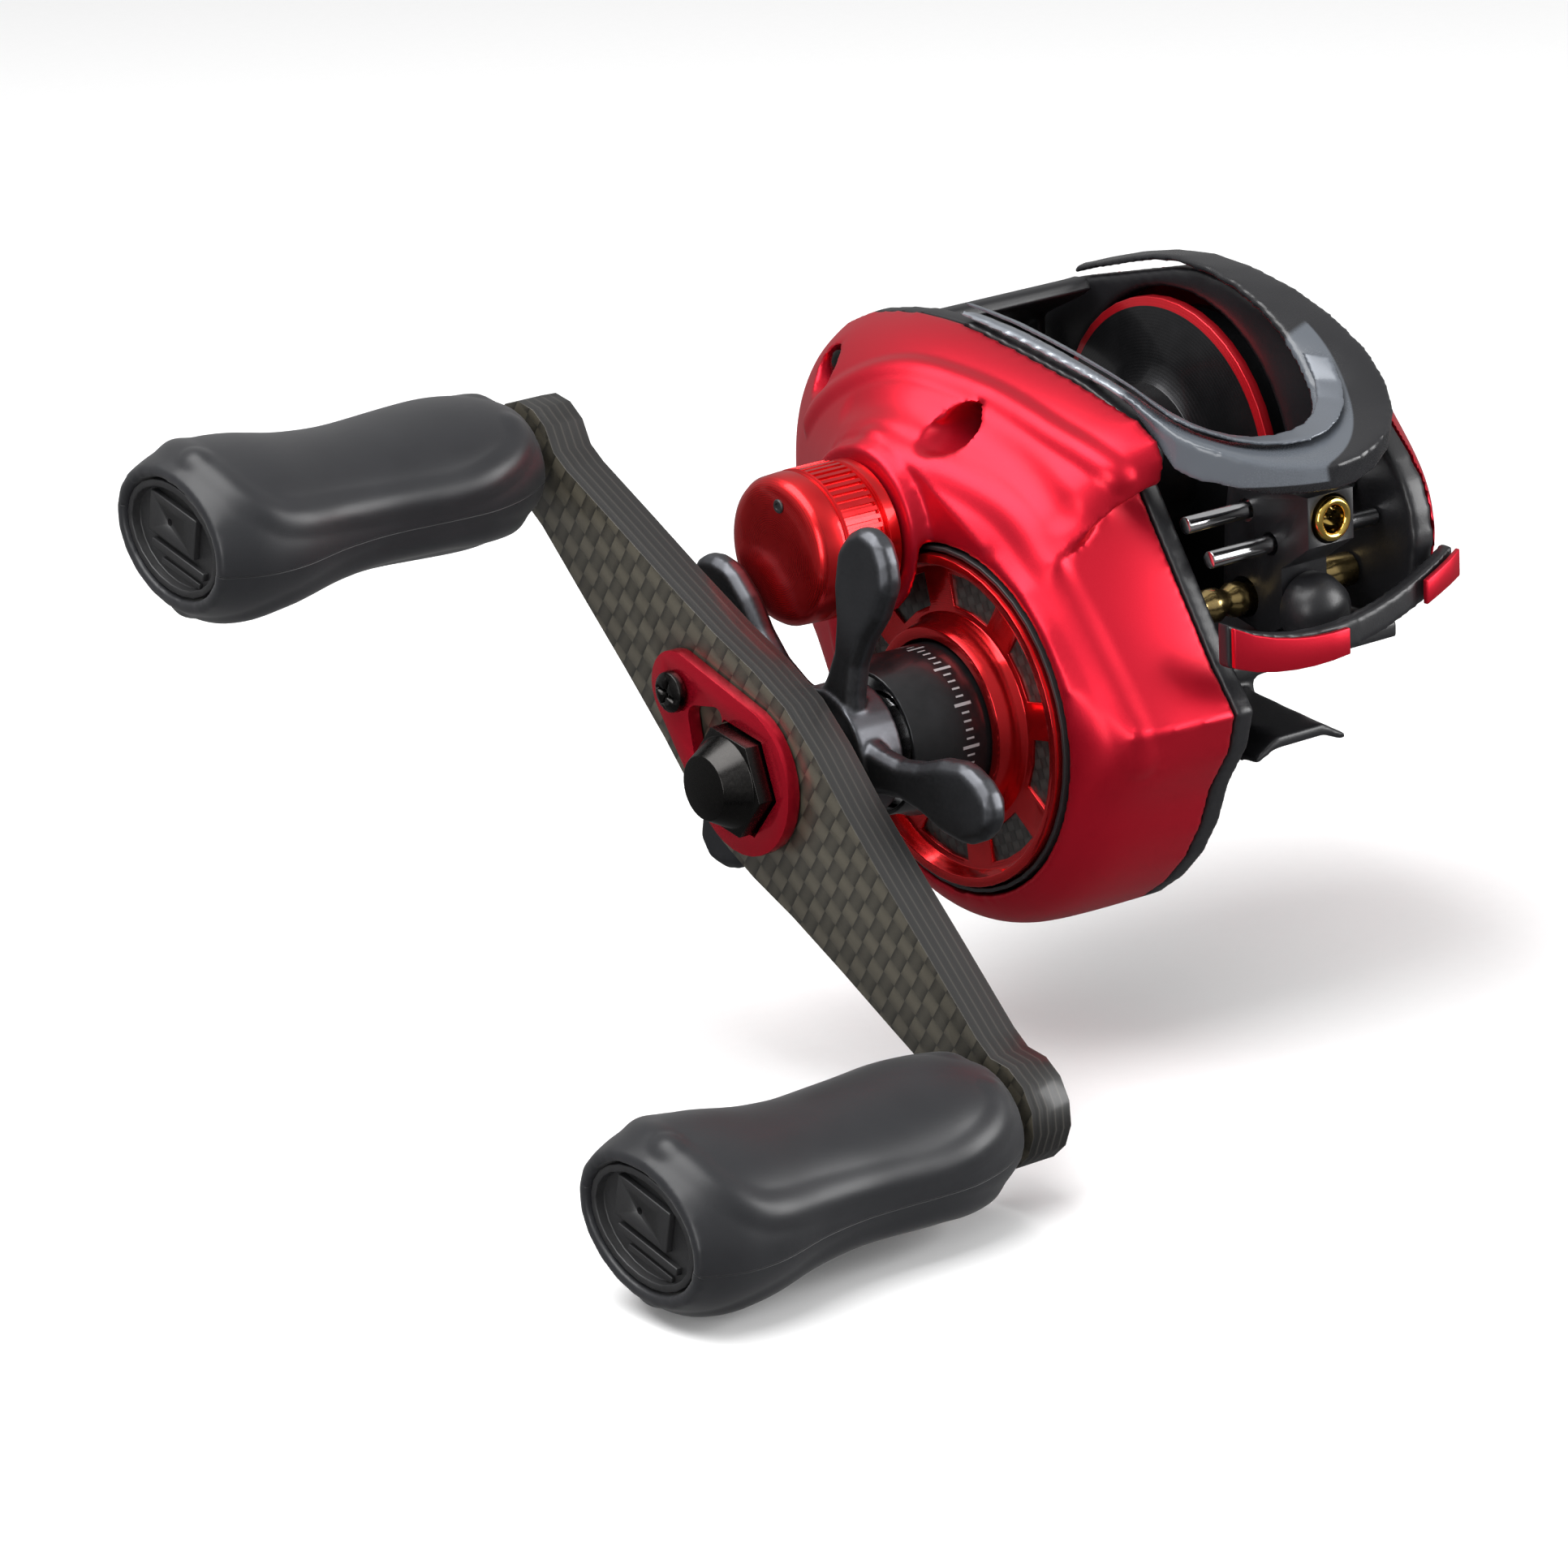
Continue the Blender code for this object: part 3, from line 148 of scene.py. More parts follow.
# %% A finish and its nodes
class Finish:
    """One material with its patterns."""

    def __init__(self, name, **constants):
        self.material = bpy.data.materials.new(name)
        self.material.use_nodes = True
        self.tree = self.material.node_tree
        self.shader = self.tree.nodes["Principled BSDF"]
        for key, value in constants.items():
            self.shader.inputs[key.replace("_", " ")].default_value = value
        self.place = self.node("ShaderNodeTexCoord").outputs["Object"]

    def node(self, kind, settings=None, inputs=None):
        made = self.tree.nodes.new(kind)
        for key, value in (settings or {}).items():
            if key == "stops":
                self.set_stops(made.color_ramp, value)
            else:
                setattr(made, key, value)
        for key, value in (inputs or {}).items():
            self.join(made.inputs[key], value)
        return made

    def join(self, socket, value):
        if isinstance(value, Amount):
            value = value.socket
        if isinstance(value, bpy.types.NodeSocket):
            self.tree.links.new(value, socket)
        else:
            socket.default_value = value

    def set_stops(self, ramp, stops):
        while len(ramp.elements) < len(stops):
            ramp.elements.new(0.5)
        for element, (position, colour) in zip(ramp.elements, stops):
            element.position = position
            element.color = (*colour, 1.0)

    def give(self, **sockets):
        for key, value in sockets.items():
            self.join(self.shader.inputs[key.replace("_", " ")], value)


print("finishes ready")


# %% [markdown]
# Most finishes share a few patterns measured in millimetres on the surface: a fine grain, a blend of
# two colours, and a soft dent. They are written once here and used by every finish below.

# %% Helpers for patterns
def millimetres(finish, place=None):
    """The x, y and z of the surface, in millimetres."""
    split = finish.node("ShaderNodeSeparateXYZ", None, {0: place or finish.place})
    return [Amount(finish, split.outputs[i]) * 1000.0 for i in range(3)]


def grain(finish, size, detail=2.0, roughness=0.5, stretch=(1.0, 1.0, 1.0)):
    """Soft noise whose blobs are about size millimetres across."""
    scale = tuple(s / (size * 0.001) for s in stretch)
    mapped = finish.node("ShaderNodeMapping", None, {"Vector": finish.place, "Scale": scale})
    inputs = {"Vector": mapped.outputs[0], "Scale": 1.0, "Detail": detail, "Roughness": roughness}
    return Amount(finish, finish.node("ShaderNodeTexNoise", None, inputs).outputs[0])


def mix(finish, share, first, second):
    """A colour between two, by share."""
    settings = {"data_type": "RGBA"}
    colours = [c if isinstance(c, bpy.types.NodeSocket) else (*c, 1.0) for c in (first, second)]
    made = finish.node("ShaderNodeMix", settings, {0: share, 6: colours[0], 7: colours[1]})
    return made.outputs[2]


def smooth(finish, value, low, high):
    """0 below low, 1 above high, and a soft step between."""
    settings = {"interpolation_type": "SMOOTHSTEP"}
    made = finish.node("ShaderNodeMapRange", settings, {0: value, 1: low, 2: high})
    return Amount(finish, made.outputs[0])


def dent(finish, height, depth, strength=1.0, normal=None):
    """A bump whose full height is depth millimetres."""
    inputs = {"Height": height, "Distance": depth * 0.001, "Strength": strength}
    if normal is not None:
        inputs["Normal"] = normal
    return finish.node("ShaderNodeBump", None, inputs).outputs[0]


def from_axis(finish, y, z):
    """Distance from a line along X through (y, z), and the angle round it in turns."""
    _, wide, tall = millimetres(finish)
    wide, tall = wide - y, tall - z
    distance = (wide * wide + tall * tall) ** 0.5
    turn = tall.sum("ARCTAN2", tall, wide) / (2 * pi)
    return distance, turn


print("pattern helpers ready")

# %% [markdown]
# The covers are aluminium, bead blasted and then dyed red in the anodising bath. The blast leaves a
# very fine grain that spreads the highlights, and the dye varies faintly from place to place. It is
# made as a metal with a red base, a fine bump and a slow drift in colour and roughness.


# %% Red anodised aluminium
def red_finish(name, rough, grain_depth):
    finish = Finish(name, Metallic=0.82, Coat_Weight=0.12, Coat_Roughness=0.22)
    drift = grain(finish, 22.0, 1.5)
    fine = grain(finish, 0.16, 1.0, 0.6)
    shade = mix(finish, drift, (0.50, 0.003, 0.016), (0.59, 0.006, 0.026))
    speck = mix(finish, fine * 0.18, shade, (0.72, 0.03, 0.06))
    finish.give(Base_Color=speck, Roughness=rough + (drift - 0.5) * 0.08 + (fine - 0.5) * 0.10)
    finish.give(Normal=dent(finish, fine, grain_depth))
    return finish


satin_red = red_finish("satin_red", 0.41, 0.006)
bright_red = red_finish("bright_red", 0.20, 0.0015)
print("red finishes:", satin_red.material.name, bright_red.material.name)

# %% [markdown]
# The drag ring and the knob are turned on a lathe before they are dyed, and the tool leaves rings
# that catch the light. The rings follow the distance from the axis, so that distance drives both
# the bump and the roughness.


# %% Turned red metal
def turned_red(name, y, z, rough):
    finish = Finish(name, Metallic=0.92, Coat_Weight=0.25, Coat_Roughness=0.08)
    distance, _ = from_axis(finish, y, z)
    wobble = grain(finish, 3.0, 1.0)
    rings = (distance * 26.0 + wobble * 0.8).sum("SINE", distance * 26.0 + wobble * 0.8)
    shade = mix(finish, wobble, (0.58, 0.010, 0.014), (0.72, 0.022, 0.026))
    finish.give(Base_Color=shade, Roughness=rough + rings * 0.03 + (wobble - 0.5) * 0.06)
    finish.give(Normal=dent(finish, rings, 0.0012))
    return finish


crank_y, crank_z = [(a + b) * 500 for a, b in list(zip(*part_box("drag_ring")))[1:]]
spool_y, spool_z = [(a + b) * 500 for a, b in list(zip(*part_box("tension_knob")))[1:]]
ring_red = turned_red("ring_red", crank_y, crank_z, 0.17)
knob_red = turned_red("knob_red", spool_y, spool_z, 0.30)
print("crank axis:", round(crank_y, 2), round(crank_z, 2))
print("spool axis:", round(spool_y, 2), round(spool_z, 2))

# %% [markdown]
# The frame, hood and foot are moulded in carbon-filled nylon. Spark-eroded moulds leave a fine
# pebbled skin, and handling polishes it in patches, so the roughness drifts more than the colour.


# %% Moulded black composite
def black_finish(name, rough, colour, pebble):
    finish = Finish(name, Specular_IOR_Level=0.5)
    patches = grain(finish, 9.0, 2.0)
    skin = grain(finish, 0.22, 2.0, 0.65)
    darker = tuple(c * 0.62 for c in colour)
    finish.give(Base_Color=mix(finish, patches * 0.6 + skin * 0.4, darker, colour))
    finish.give(Roughness=rough + (patches - 0.5) * 0.16 + (skin - 0.5) * 0.10)
    finish.give(Normal=dent(finish, skin, pebble))
    return finish


frame_black = black_finish("frame_black", 0.38, (0.013, 0.013, 0.015), 0.012)
hood_black = black_finish("hood_black", 0.26, (0.014, 0.014, 0.016), 0.004)
cap_black = black_finish("cap_black", 0.42, (0.018, 0.018, 0.019), 0.010)
print("black finishes ready")

# %% [markdown]
# The grips are a hard core under a soft-touch skin. It looks almost dry, with a faint sheen at
# glancing angles, and the two halves of the mould leave a hair line along each side.


# %% Soft-touch grip skin
def grip_finish(name, y, z):
    finish = Finish(name, Sheen_Weight=0.08, Sheen_Roughness=0.45, Specular_IOR_Level=0.42)
    patches = grain(finish, 7.0, 2.5)
    skin = grain(finish, 0.12, 1.5, 0.7)
    _, wide, tall = millimetres(finish)
    off_seam = abs((tall - z) * 0.974 - (wide - y) * 0.225)
    seam = 1.0 - smooth(finish, off_seam, 0.03, 0.13)
    base = mix(finish, patches * 0.7 + skin * 0.3, (0.0075, 0.0078, 0.0095), (0.014, 0.0145, 0.017))
    finish.give(Base_Color=mix(finish, seam * 0.5, base, (0.004, 0.004, 0.005)))
    finish.give(Roughness=0.41 + (patches - 0.5) * 0.12 + (skin - 0.5) * 0.08 + seam * 0.1)
    finish.give(Normal=dent(finish, skin * 0.12 - seam, 0.05))
    return finish


grip_finishes = {}
for which in ("grip_upper", "grip_lower"):
    low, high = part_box(which)
    grip_finishes[which] = grip_finish(which + "_skin", (low.y + high.y) * 500, (low.z + high.z) * 500)
print("grip skins:", sorted(grip_finishes))

# %% [markdown]
# Steel parts come in two kinds: bare stainless, drawn or turned bright, and small hardware with a
# black oxide skin. Both are metals; the oxide is dark, slightly brown and patchy, and the stainless
# has long scratches along its length.


# %% Steel, black steel and brass
def metal_finish(name, dark, light, rough, stretch, scratch):
    finish = Finish(name, Metallic=1.0)
    patches = grain(finish, 4.0, 2.0)
    lines = grain(finish, 0.35, 2.0, 0.6, stretch)
    finish.give(Base_Color=mix(finish, patches * 0.5 + lines * 0.5, dark, light))
    finish.give(Roughness=rough + (lines - 0.5) * 0.16 + (patches - 0.5) * 0.06)
    finish.give(Normal=dent(finish, lines, scratch))
    return finish


along_x = (0.06, 1.0, 1.0)
even = (1.0, 1.0, 1.0)
bright_steel = metal_finish("bright_steel", (0.50, 0.50, 0.51), (0.74, 0.74, 0.75), 0.17, along_x, 0.002)
black_steel = metal_finish("black_steel", (0.020, 0.019, 0.019), (0.050, 0.048, 0.046), 0.27, even, 0.003)
star_black = metal_finish("star_black", (0.075, 0.077, 0.085), (0.115, 0.118, 0.128), 0.42, even, 0.003)
worm_brass = metal_finish("worm_brass", (0.42, 0.30, 0.12), (0.62, 0.46, 0.20), 0.24, even, 0.003)
ring_gold = metal_finish("ring_gold", (0.86, 0.55, 0.10), (0.98, 0.70, 0.20), 0.12, even, 0.001)
print("metals ready")

# %% [markdown]
# The arm is cut from a stack of woven carbon plies. On the flat faces the weave shows as a plain
# weave: each tow passes over one and under one, and the tows that run one way catch the light while
# the others stay dark. On the cut edge the plies show as thin lines. The weave needs the arm's own
# directions, so the coordinates are turned first.


# %% Woven carbon
def carbon_finish(name, turn, tow, dark, light, plies):
    finish = Finish(name, Coat_Weight=0.35, Coat_Roughness=0.20, Metallic=0.15)
    turned = finish.node("ShaderNodeMapping", None, {"Vector": finish.place, "Rotation": (turn, 0.0, 0.0)})
    depth, along, across = millimetres(finish, turned.outputs[0])
    column, row = along / tow, across / tow
    step = (column.sum("FLOOR", column) + row.sum("FLOOR", row)) % 2.0
    over = step < 0.5
    in_column = abs(column % 1.0 - 0.5) * 2.0
    in_row = abs(row % 1.0 - 0.5) * 2.0
    crown = over * (1.0 - in_row ** 2.0) + (1.0 - over) * (1.0 - in_column ** 2.0)
    strands = grain(finish, 0.12, 1.0)
    # The colour paints the weave's sheen: the over tows are painted lighter, the crown of each tow gets a painted
    # highlight, and the strands add a random fibre texture.
    shine = over * 0.42 + crown * 0.38 + strands * 0.30 - 0.05
    weave = mix(finish, shine, dark, light)
    normal = finish.node("ShaderNodeNewGeometry").outputs["Normal"]
    object_normal = finish.node("ShaderNodeVectorTransform", {"vector_type": "NORMAL"}, {0: normal})
    parts = finish.node("ShaderNodeSeparateXYZ", None, {0: object_normal.outputs[0]})
    facing = abs(Amount(finish, parts.outputs[0]))
    flat = facing > 0.55
    layer = depth * plies
    lines = abs(layer % 1.0 - 0.5) * 2.0
    edge = mix(finish, lines ** 6.0, (0.0075, 0.007, 0.0065), (0.040, 0.036, 0.031))
    finish.give(Base_Color=mix(finish, flat, edge, weave))
    finish.give(Roughness=0.50 - flat * 0.12 - over * flat * 0.08 + strands * 0.08)
    finish.give(Normal=dent(finish, crown * flat + lines * (1.0 - flat) * 0.8, 0.035))
    return finish


reach = (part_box("grip_bolt_lower")[0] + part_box("grip_bolt_lower")[1]) / 2
reach -= (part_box("grip_bolt_upper")[0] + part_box("grip_bolt_upper")[1]) / 2
arm_turn = -atan2(reach.z, reach.y)
arm_carbon = carbon_finish("arm_carbon", arm_turn, 2.05, (0.010, 0.0095, 0.008), (0.075, 0.067, 0.050), 1.0)
washer_carbon = carbon_finish("washer_carbon", 0.4, 1.1, (0.006, 0.006, 0.006), (0.040, 0.039, 0.036), 5.0)
print("arm lies at", round(-arm_turn * 180 / pi, 1), "degrees")

# %% [markdown]
# The hood is a single black moulding, but two areas are sprayed after a mask is laid on: the slate
# inlay at the front and a silver strip down the handle side. The inlay is a node of its own. The
# strip is a masked spray on the hood, so its mask is worked out from where the surface lies.

# %% Sprayed slate and the hood's strip
slate = Finish("sprayed_slate", Metallic=0.35, Coat_Weight=0.3, Coat_Roughness=0.15)
flake = grain(slate, 0.08, 1.0, 0.7)
cloud = grain(slate, 12.0, 1.5)
slate.give(Base_Color=mix(slate, flake * 0.6 + cloud * 0.4, (0.070, 0.080, 0.095), (0.165, 0.180, 0.205)))
slate.give(Roughness=0.30 + flake * 0.10, Normal=dent(slate, flake, 0.003))

side, lengthwise, height = millimetres(hood_black, hood_black.place)
reach_right = ((side + 5.0) / 17.0) ** 2.0 + ((lengthwise + 12.0) / 23.3) ** 2.0
hood_normal = hood_black.node("ShaderNodeNewGeometry").outputs["Normal"]
facing_back = hood_black.node("ShaderNodeSeparateXYZ", None, {0: hood_normal}).outputs[1]
crescent = (1.0 - smooth(hood_black, reach_right, 0.97, 1.0)) * smooth(hood_black, height, 31.0, 31.2)
crescent = crescent * (1.0 - smooth(hood_black, lengthwise, -16.5, -15.5))
crescent = crescent * (Amount(hood_black, facing_back) < 0.35)
strip = (1.0 - smooth(hood_black, side, -13.25, -13.05)) * smooth(hood_black, lengthwise, -23.0, -21.0)
skin_colour = hood_black.shader.inputs["Base Color"].links[0].from_socket
silvered = mix(hood_black, strip, skin_colour, (0.26, 0.28, 0.31))
hood_black.give(Base_Color=mix(hood_black, crescent, silvered, (0.085, 0.095, 0.110)), Metallic=strip * 0.4)
print("slate and strip ready")

# %% [markdown]
# The spool is one aluminium turning, dyed black, and then its two rims are cut again and dyed red.
# The colour changes at a fixed radius, so distance from the axis is the mask.

# %% Spool with red rims
spool_black = Finish("spool_black", Metallic=0.75, Coat_Weight=0.2, Coat_Roughness=0.12)
distance, _ = from_axis(spool_black, spool_y, spool_z)
tool_rings = (distance * 18.0).sum("SINE", distance * 18.0)
wear = grain(spool_black, 2.5, 2.0)
rim = smooth(spool_black, distance, 16.55, 16.62)
barrel = mix(spool_black, wear, (0.010, 0.010, 0.011), (0.022, 0.022, 0.024))
spool_black.give(Base_Color=mix(spool_black, rim, barrel, (0.62, 0.012, 0.022)))
spool_black.give(Roughness=0.30 + tool_rings * 0.03 + wear * 0.06)
spool_black.give(Normal=dent(spool_black, tool_rings, 0.0015))
print("spool finish ready")

# %% [markdown]
# The black sleeve on the crank's hub carries printed marks. They are drawn here as a plain scale of
# ticks round the sleeve: angle gives the spacing and the distance along the axis gives the length.

# %% Hub sleeve with a printed scale
sleeve_low, sleeve_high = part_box("hub_sleeve")
sleeve_black = Finish("sleeve_black", Metallic=0.55, Coat_Weight=0.25, Coat_Roughness=0.15)
sleeve_x, _, _ = millimetres(sleeve_black)
distance, turn = from_axis(sleeve_black, crank_y, crank_z)
spot = grain(sleeve_black, 1.5, 2.0)
long_ticks = abs((turn * 12.0) % 1.0 - 0.5) > 0.462
short_ticks = abs((turn * 60.0) % 1.0 - 0.5) > 0.38
middle = (sleeve_low.x + sleeve_high.x) * 500
band = abs(sleeve_x - middle)
print_mask = short_ticks * (band < 0.5) + long_ticks * (band < 1.1)
print_mask = print_mask.sum("MINIMUM", print_mask, 1.0)
sleeve_base = mix(sleeve_black, spot, (0.010, 0.010, 0.011), (0.020, 0.020, 0.022))
sleeve_black.give(Base_Color=mix(sleeve_black, print_mask * 0.8, sleeve_base, (0.55, 0.55, 0.56)))
sleeve_black.give(Roughness=0.30 + print_mask * 0.25 + spot * 0.08)
sleeve_black.give(Normal=dent(sleeve_black, print_mask, 0.01))
print("sleeve from", round(sleeve_low.x * 1000, 2), "to", round(sleeve_high.x * 1000, 2))

# %% [markdown]
# The idler gears of the level wind are moulded in an unfilled, milky nylon, which lets a little
# light in. The magnets of the brake are nickel plated; no finish of their own is made for them, so
# they wear the bright steel like every node not named below.

# %% Milky nylon
nylon = Finish("milky_nylon", Subsurface_Weight=0.15, Subsurface_Scale=0.001)
milk = grain(nylon, 2.0, 2.0)
nylon.give(Base_Color=mix(nylon, milk, (0.52, 0.50, 0.44), (0.68, 0.66, 0.60)))
nylon.give(Roughness=0.38 + milk * 0.14, Normal=dent(nylon, milk, 0.01))
print("nylon ready")

# %% [markdown]
# Each CAD node now gets its finish. The node keeps its mesh; only the material in its slot changes.

# %% Finishes on the CAD nodes
wearing = {
    satin_red: ["handle_side_cover", "palm_side_cover", "brace_insert_handle_side", "brace_insert_palm_side"],
    bright_red: ["nut_retainer"],
    ring_red: ["drag_ring"],
    knob_red: ["tension_knob", "brake_dial"],
    frame_black: ["frame", "front_brace", "thumb_bar", "line_guide", "pawl_cap", "brake_plate", "clutch_yoke"],
    hood_black: ["hood"],
    cap_black: ["grip_cap_upper", "grip_cap_lower", "drag_seal_ring"],
    grip_finishes["grip_upper"]: ["grip_upper"],
    grip_finishes["grip_lower"]: ["grip_lower"],
    slate: ["hood_inlay"],
    star_black: ["star_drag"],
    sleeve_black: ["hub_sleeve"],
    spool_black: ["spool"],
    arm_carbon: ["handle_arm"],
    washer_carbon: ["carbon_washer_inner", "carbon_washer_outer"],
    ring_gold: ["guide_ring"],
    worm_brass: ["worm_shaft", "main_gear", "pinion_gear"],
    nylon: ["levelwind_idler_gear", "worm_gear", "levelwind_drive_gear"],
    black_steel: ["cover_screw_lower", "cover_screw_rear", "cover_screw_top", "retainer_screw", "handle_nut",
                  "handle_spacer"],
}
dressed = {name: finish for finish, names in wearing.items() for name in names}
for name, node in nodes.items():
    finish = dressed.get(name, bright_steel)
    node.data.materials.clear()
    node.data.materials.append(finish.material)
print("dressed by name:", len(dressed), "left in bright steel:", len(nodes) - len(dressed))

# %% [markdown]
# The CAD covers are lofts with coarse facets, which a mould or a die would not leave. The visible
# shells are therefore made again from a copy of their node: the copy is merged, remeshed in small
# voxels, and relaxed until the facets flow together. Points close to a real edge, such as the rim of
# a bore, stay put, so the edges remain crisp with a small natural radius.


# %% Copy of a node
def copy_of(node_name, piece_name):
    """A merged copy of a CAD node's mesh as a new object, alone in the selection."""
    bpy.ops.object.select_all(action="DESELECT")
    piece = bpy.data.objects.new(piece_name, nodes[node_name].data.copy())
    bpy.context.scene.collection.objects.link(piece)
    piece.select_set(True)
    bpy.context.view_layer.objects.active = piece
    bpy.ops.object.mode_set(mode="EDIT")
    bpy.ops.mesh.select_all(action="SELECT")
    bpy.ops.mesh.remove_doubles(threshold=0.000002)
    bpy.ops.mesh.tris_convert_to_quads()
    bpy.ops.object.mode_set(mode="OBJECT")
    return piece


def settle(piece, node_name, angle=35.0):
    """Shades the piece, puts it on its node's body and hides the node."""
    bpy.ops.object.shade_smooth_by_angle(angle=radians(angle))
    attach(piece, nodes[node_name]["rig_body"])
    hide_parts(node_name)
    print(piece.name, len(piece.data.polygons), "faces")
    return piece


def apply_modifier(piece, kind, **settings):
    modifier = piece.modifiers.new(kind.lower(), kind)
    for key, value in settings.items():
        setattr(modifier, key, value)
    bpy.ops.object.modifier_apply(modifier=modifier.name)


print("copies ready")


# %% [markdown]
# A cast cover is smooth between its ridges. The copy is remeshed finely, then relaxed, and points near
# the sharp edges of the original hold their place so that the ridges stay.

# %% Relaxing a faceted shell
def edge_points(piece, crisp):
    """Points every third of a millimetre along the edges sharper than crisp degrees."""
    mesh = bmesh.new()
    mesh.from_mesh(piece.data)
    points = []
    for edge in mesh.edges:
        if edge.is_manifold and edge.calc_face_angle(0.0) > radians(crisp):
            first, second = edge.verts[0].co, edge.verts[1].co
            count = max(1, int((second - first).length / 0.00033))
            points += [first.lerp(second, i / count) for i in range(count + 1)]
    mesh.free()
    return points


def relaxed(node_name, voxel, rounds, crisp=38.0, keep=0.5, fade=1.6):
    """A smooth version of a node's shell, with the real edges kept."""
    piece = copy_of(node_name, node_name + "_shell")
    points = edge_points(piece, crisp)
    tree = KDTree(max(1, len(points)))
    for i, point in enumerate(points):
        tree.insert(point, i)
    tree.balance()
    apply_modifier(piece, "REMESH", mode="VOXEL", voxel_size=voxel * 0.001)
    apply_modifier(piece, "SMOOTH", factor=0.5, iterations=7)
    group = piece.vertex_groups.new(name="free")
    levels = [[] for _ in range(11)]
    for vertex in piece.data.vertices:
        off = tree.find(vertex.co)[2] * 1000 if points else 9.0
        levels[round(10 * min(1.0, max(0.0, (off - keep) / fade)))].append(vertex.index)
    for level, indices in enumerate(levels):
        group.add(indices, level / 10, "REPLACE")
    apply_modifier(piece, "SMOOTH", factor=0.5, iterations=rounds, vertex_group="free")
    piece.vertex_groups.clear()
    return piece


shells = {
    "handle_side_cover": (0.42, 200, 40.0),
    "palm_side_cover": (0.45, 200, 40.0),
    "hood": (0.36, 120, 40.0),
    "hood_inlay": (0.22, 60, 50.0),
    "star_drag": (0.24, 24, 32.0),
    "grip_upper": (0.42, 160, 40.0),
    "grip_lower": (0.42, 160, 40.0),
    "front_brace": (0.30, 60, 45.0),
    "thumb_bar": (0.34, 60, 45.0),
    "frame": (0.42, 30, 35.0),
}
smooth_shells = {}
for name, (voxel, rounds, crisp) in shells.items():
    smooth_shells[name] = settle(relaxed(name, voxel, rounds, crisp), name, 50.0)

# %% [markdown]
# The die-cast cover is not a plain dome: two soft crests flow from the knob's boss over the drag
# ring and forward to the nose, with a shallow valley between them. The grips have a crest too, round
# the flat that the thumb presses. A crest is a line of a few points, and every vertex near the line
# is lifted along its normal, most on the line itself and not at all at its width.


# %% Soft crests
def flowing(points, steps=24):
    """A smooth line through the points, in metres."""
    ends = [points[0], *points, points[-1]]
    line = []
    for a, b, c, d in zip(ends, ends[1:], ends[2:], ends[3:]):
        a, b, c, d = Vector(a), Vector(b), Vector(c), Vector(d)
        for i in range(steps):
            t = i / steps
            line.append((2 * b + (c - a) * t + (2 * a - 5 * b + 4 * c - d) * t * t
                         + (3 * b - a - 3 * c + d) * t ** 3) * 0.0005)
    return line


def raise_crest(piece, points, height, width):
    """Lifts the outer skin near the line by up to height, in millimetres."""
    line = flowing(points)
    tree = KDTree(len(line))
    for i, point in enumerate(line):
        tree.insert(point, i)
    tree.balance()
    places = np.zeros(len(piece.data.vertices) * 3, np.float32)
    piece.data.vertices.foreach_get("co", places)
    places = places.reshape(-1, 3)
    normals = np.zeros((len(places), 3), np.float32)
    piece.data.vertex_normals.foreach_get("vector", normals.ravel())
    middle = (places.min(0) + places.max(0)) / 2
    corners = np.array([tuple(point) for point in line])
    above = places > corners.min(0) - width * 0.001
    below = places < corners.max(0) + width * 0.001
    near = np.all(above & below, axis=1)
    near &= np.einsum("ij,ij->i", normals, places - middle) > 0
    for i in np.flatnonzero(near):
        off = tree.find(places[i])[2] * 1000
        if off < width:
            places[i] += normals[i] * height * (1 - (off / width) ** 2) ** 2 * 0.001
    piece.data.vertices.foreach_set("co", places.ravel())
    piece.data.update()


cover = smooth_shells["handle_side_cover"]
raise_crest(cover, [(-31.5, 6.0, 33.8), (-31.0, 1.0, 32.8), (-29.2, -4.7, 31.8), (-28.2, -12.6, 29.3),
                    (-28.0, -18.7, 24.8), (-27.4, -23.7, 18.8), (-27.2, -28.8, 12.2), (-26.6, -32.0, 4.5)], 0.4, 2.6)
raise_crest(cover, [(-25.3, 24.9, 31.2), (-25.2, 17.5, 37.0), (-23.3, 8.8, 39.9), (-21.6, -2.4, 38.6),
                    (-21.4, -13.9, 35.9), (-19.8, -22.1, 32.4)], 0.6, 2.2)
raise_crest(cover, [(-28.6, 13.5, 36.0), (-27.4, 6.0, 37.2), (-26.0, -3.0, 35.6), (-25.2, -11.0, 33.2),
                    (-25.0, -18.0, 29.0)], -0.35, 2.8)
print("cover crests raised")

grip_crest = [(-100.7, 0.0, 8.9), (-99.5, 6.5, 7.9), (-96.6, 9.5, 5.8), (-93.0, 10.0, 4.8), (-86.8, 8.9, 3.7),
              (-79.3, 8.9, 3.2), (-72.2, 9.3, 3.1), (-66.5, 8.4, 4.0), (-62.9, 6.2, 5.1), (-62.0, 3.6, 6.4)]
for which in ("grip_upper", "grip_lower"):
    low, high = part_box(which.replace("grip", "grip_bolt"))
    for left in (1, -1):
        for over in (1, -1):
            points = [(x, (low.y + high.y) * 500 - 0.974 * u * left - 0.225 * v * over,
                       (low.z + high.z) * 500 - 0.225 * u * left + 0.974 * v * over) for x, u, v in grip_crest]
            raise_crest(smooth_shells[which], points, 0.45, 2.4)
print("grip crests raised")

# %% [markdown]
# The small turned and milled parts are already the right shape. Their copies are only merged and
# shaded, and get a fine bevel on the sharp edges so that each edge draws a thin line of light.

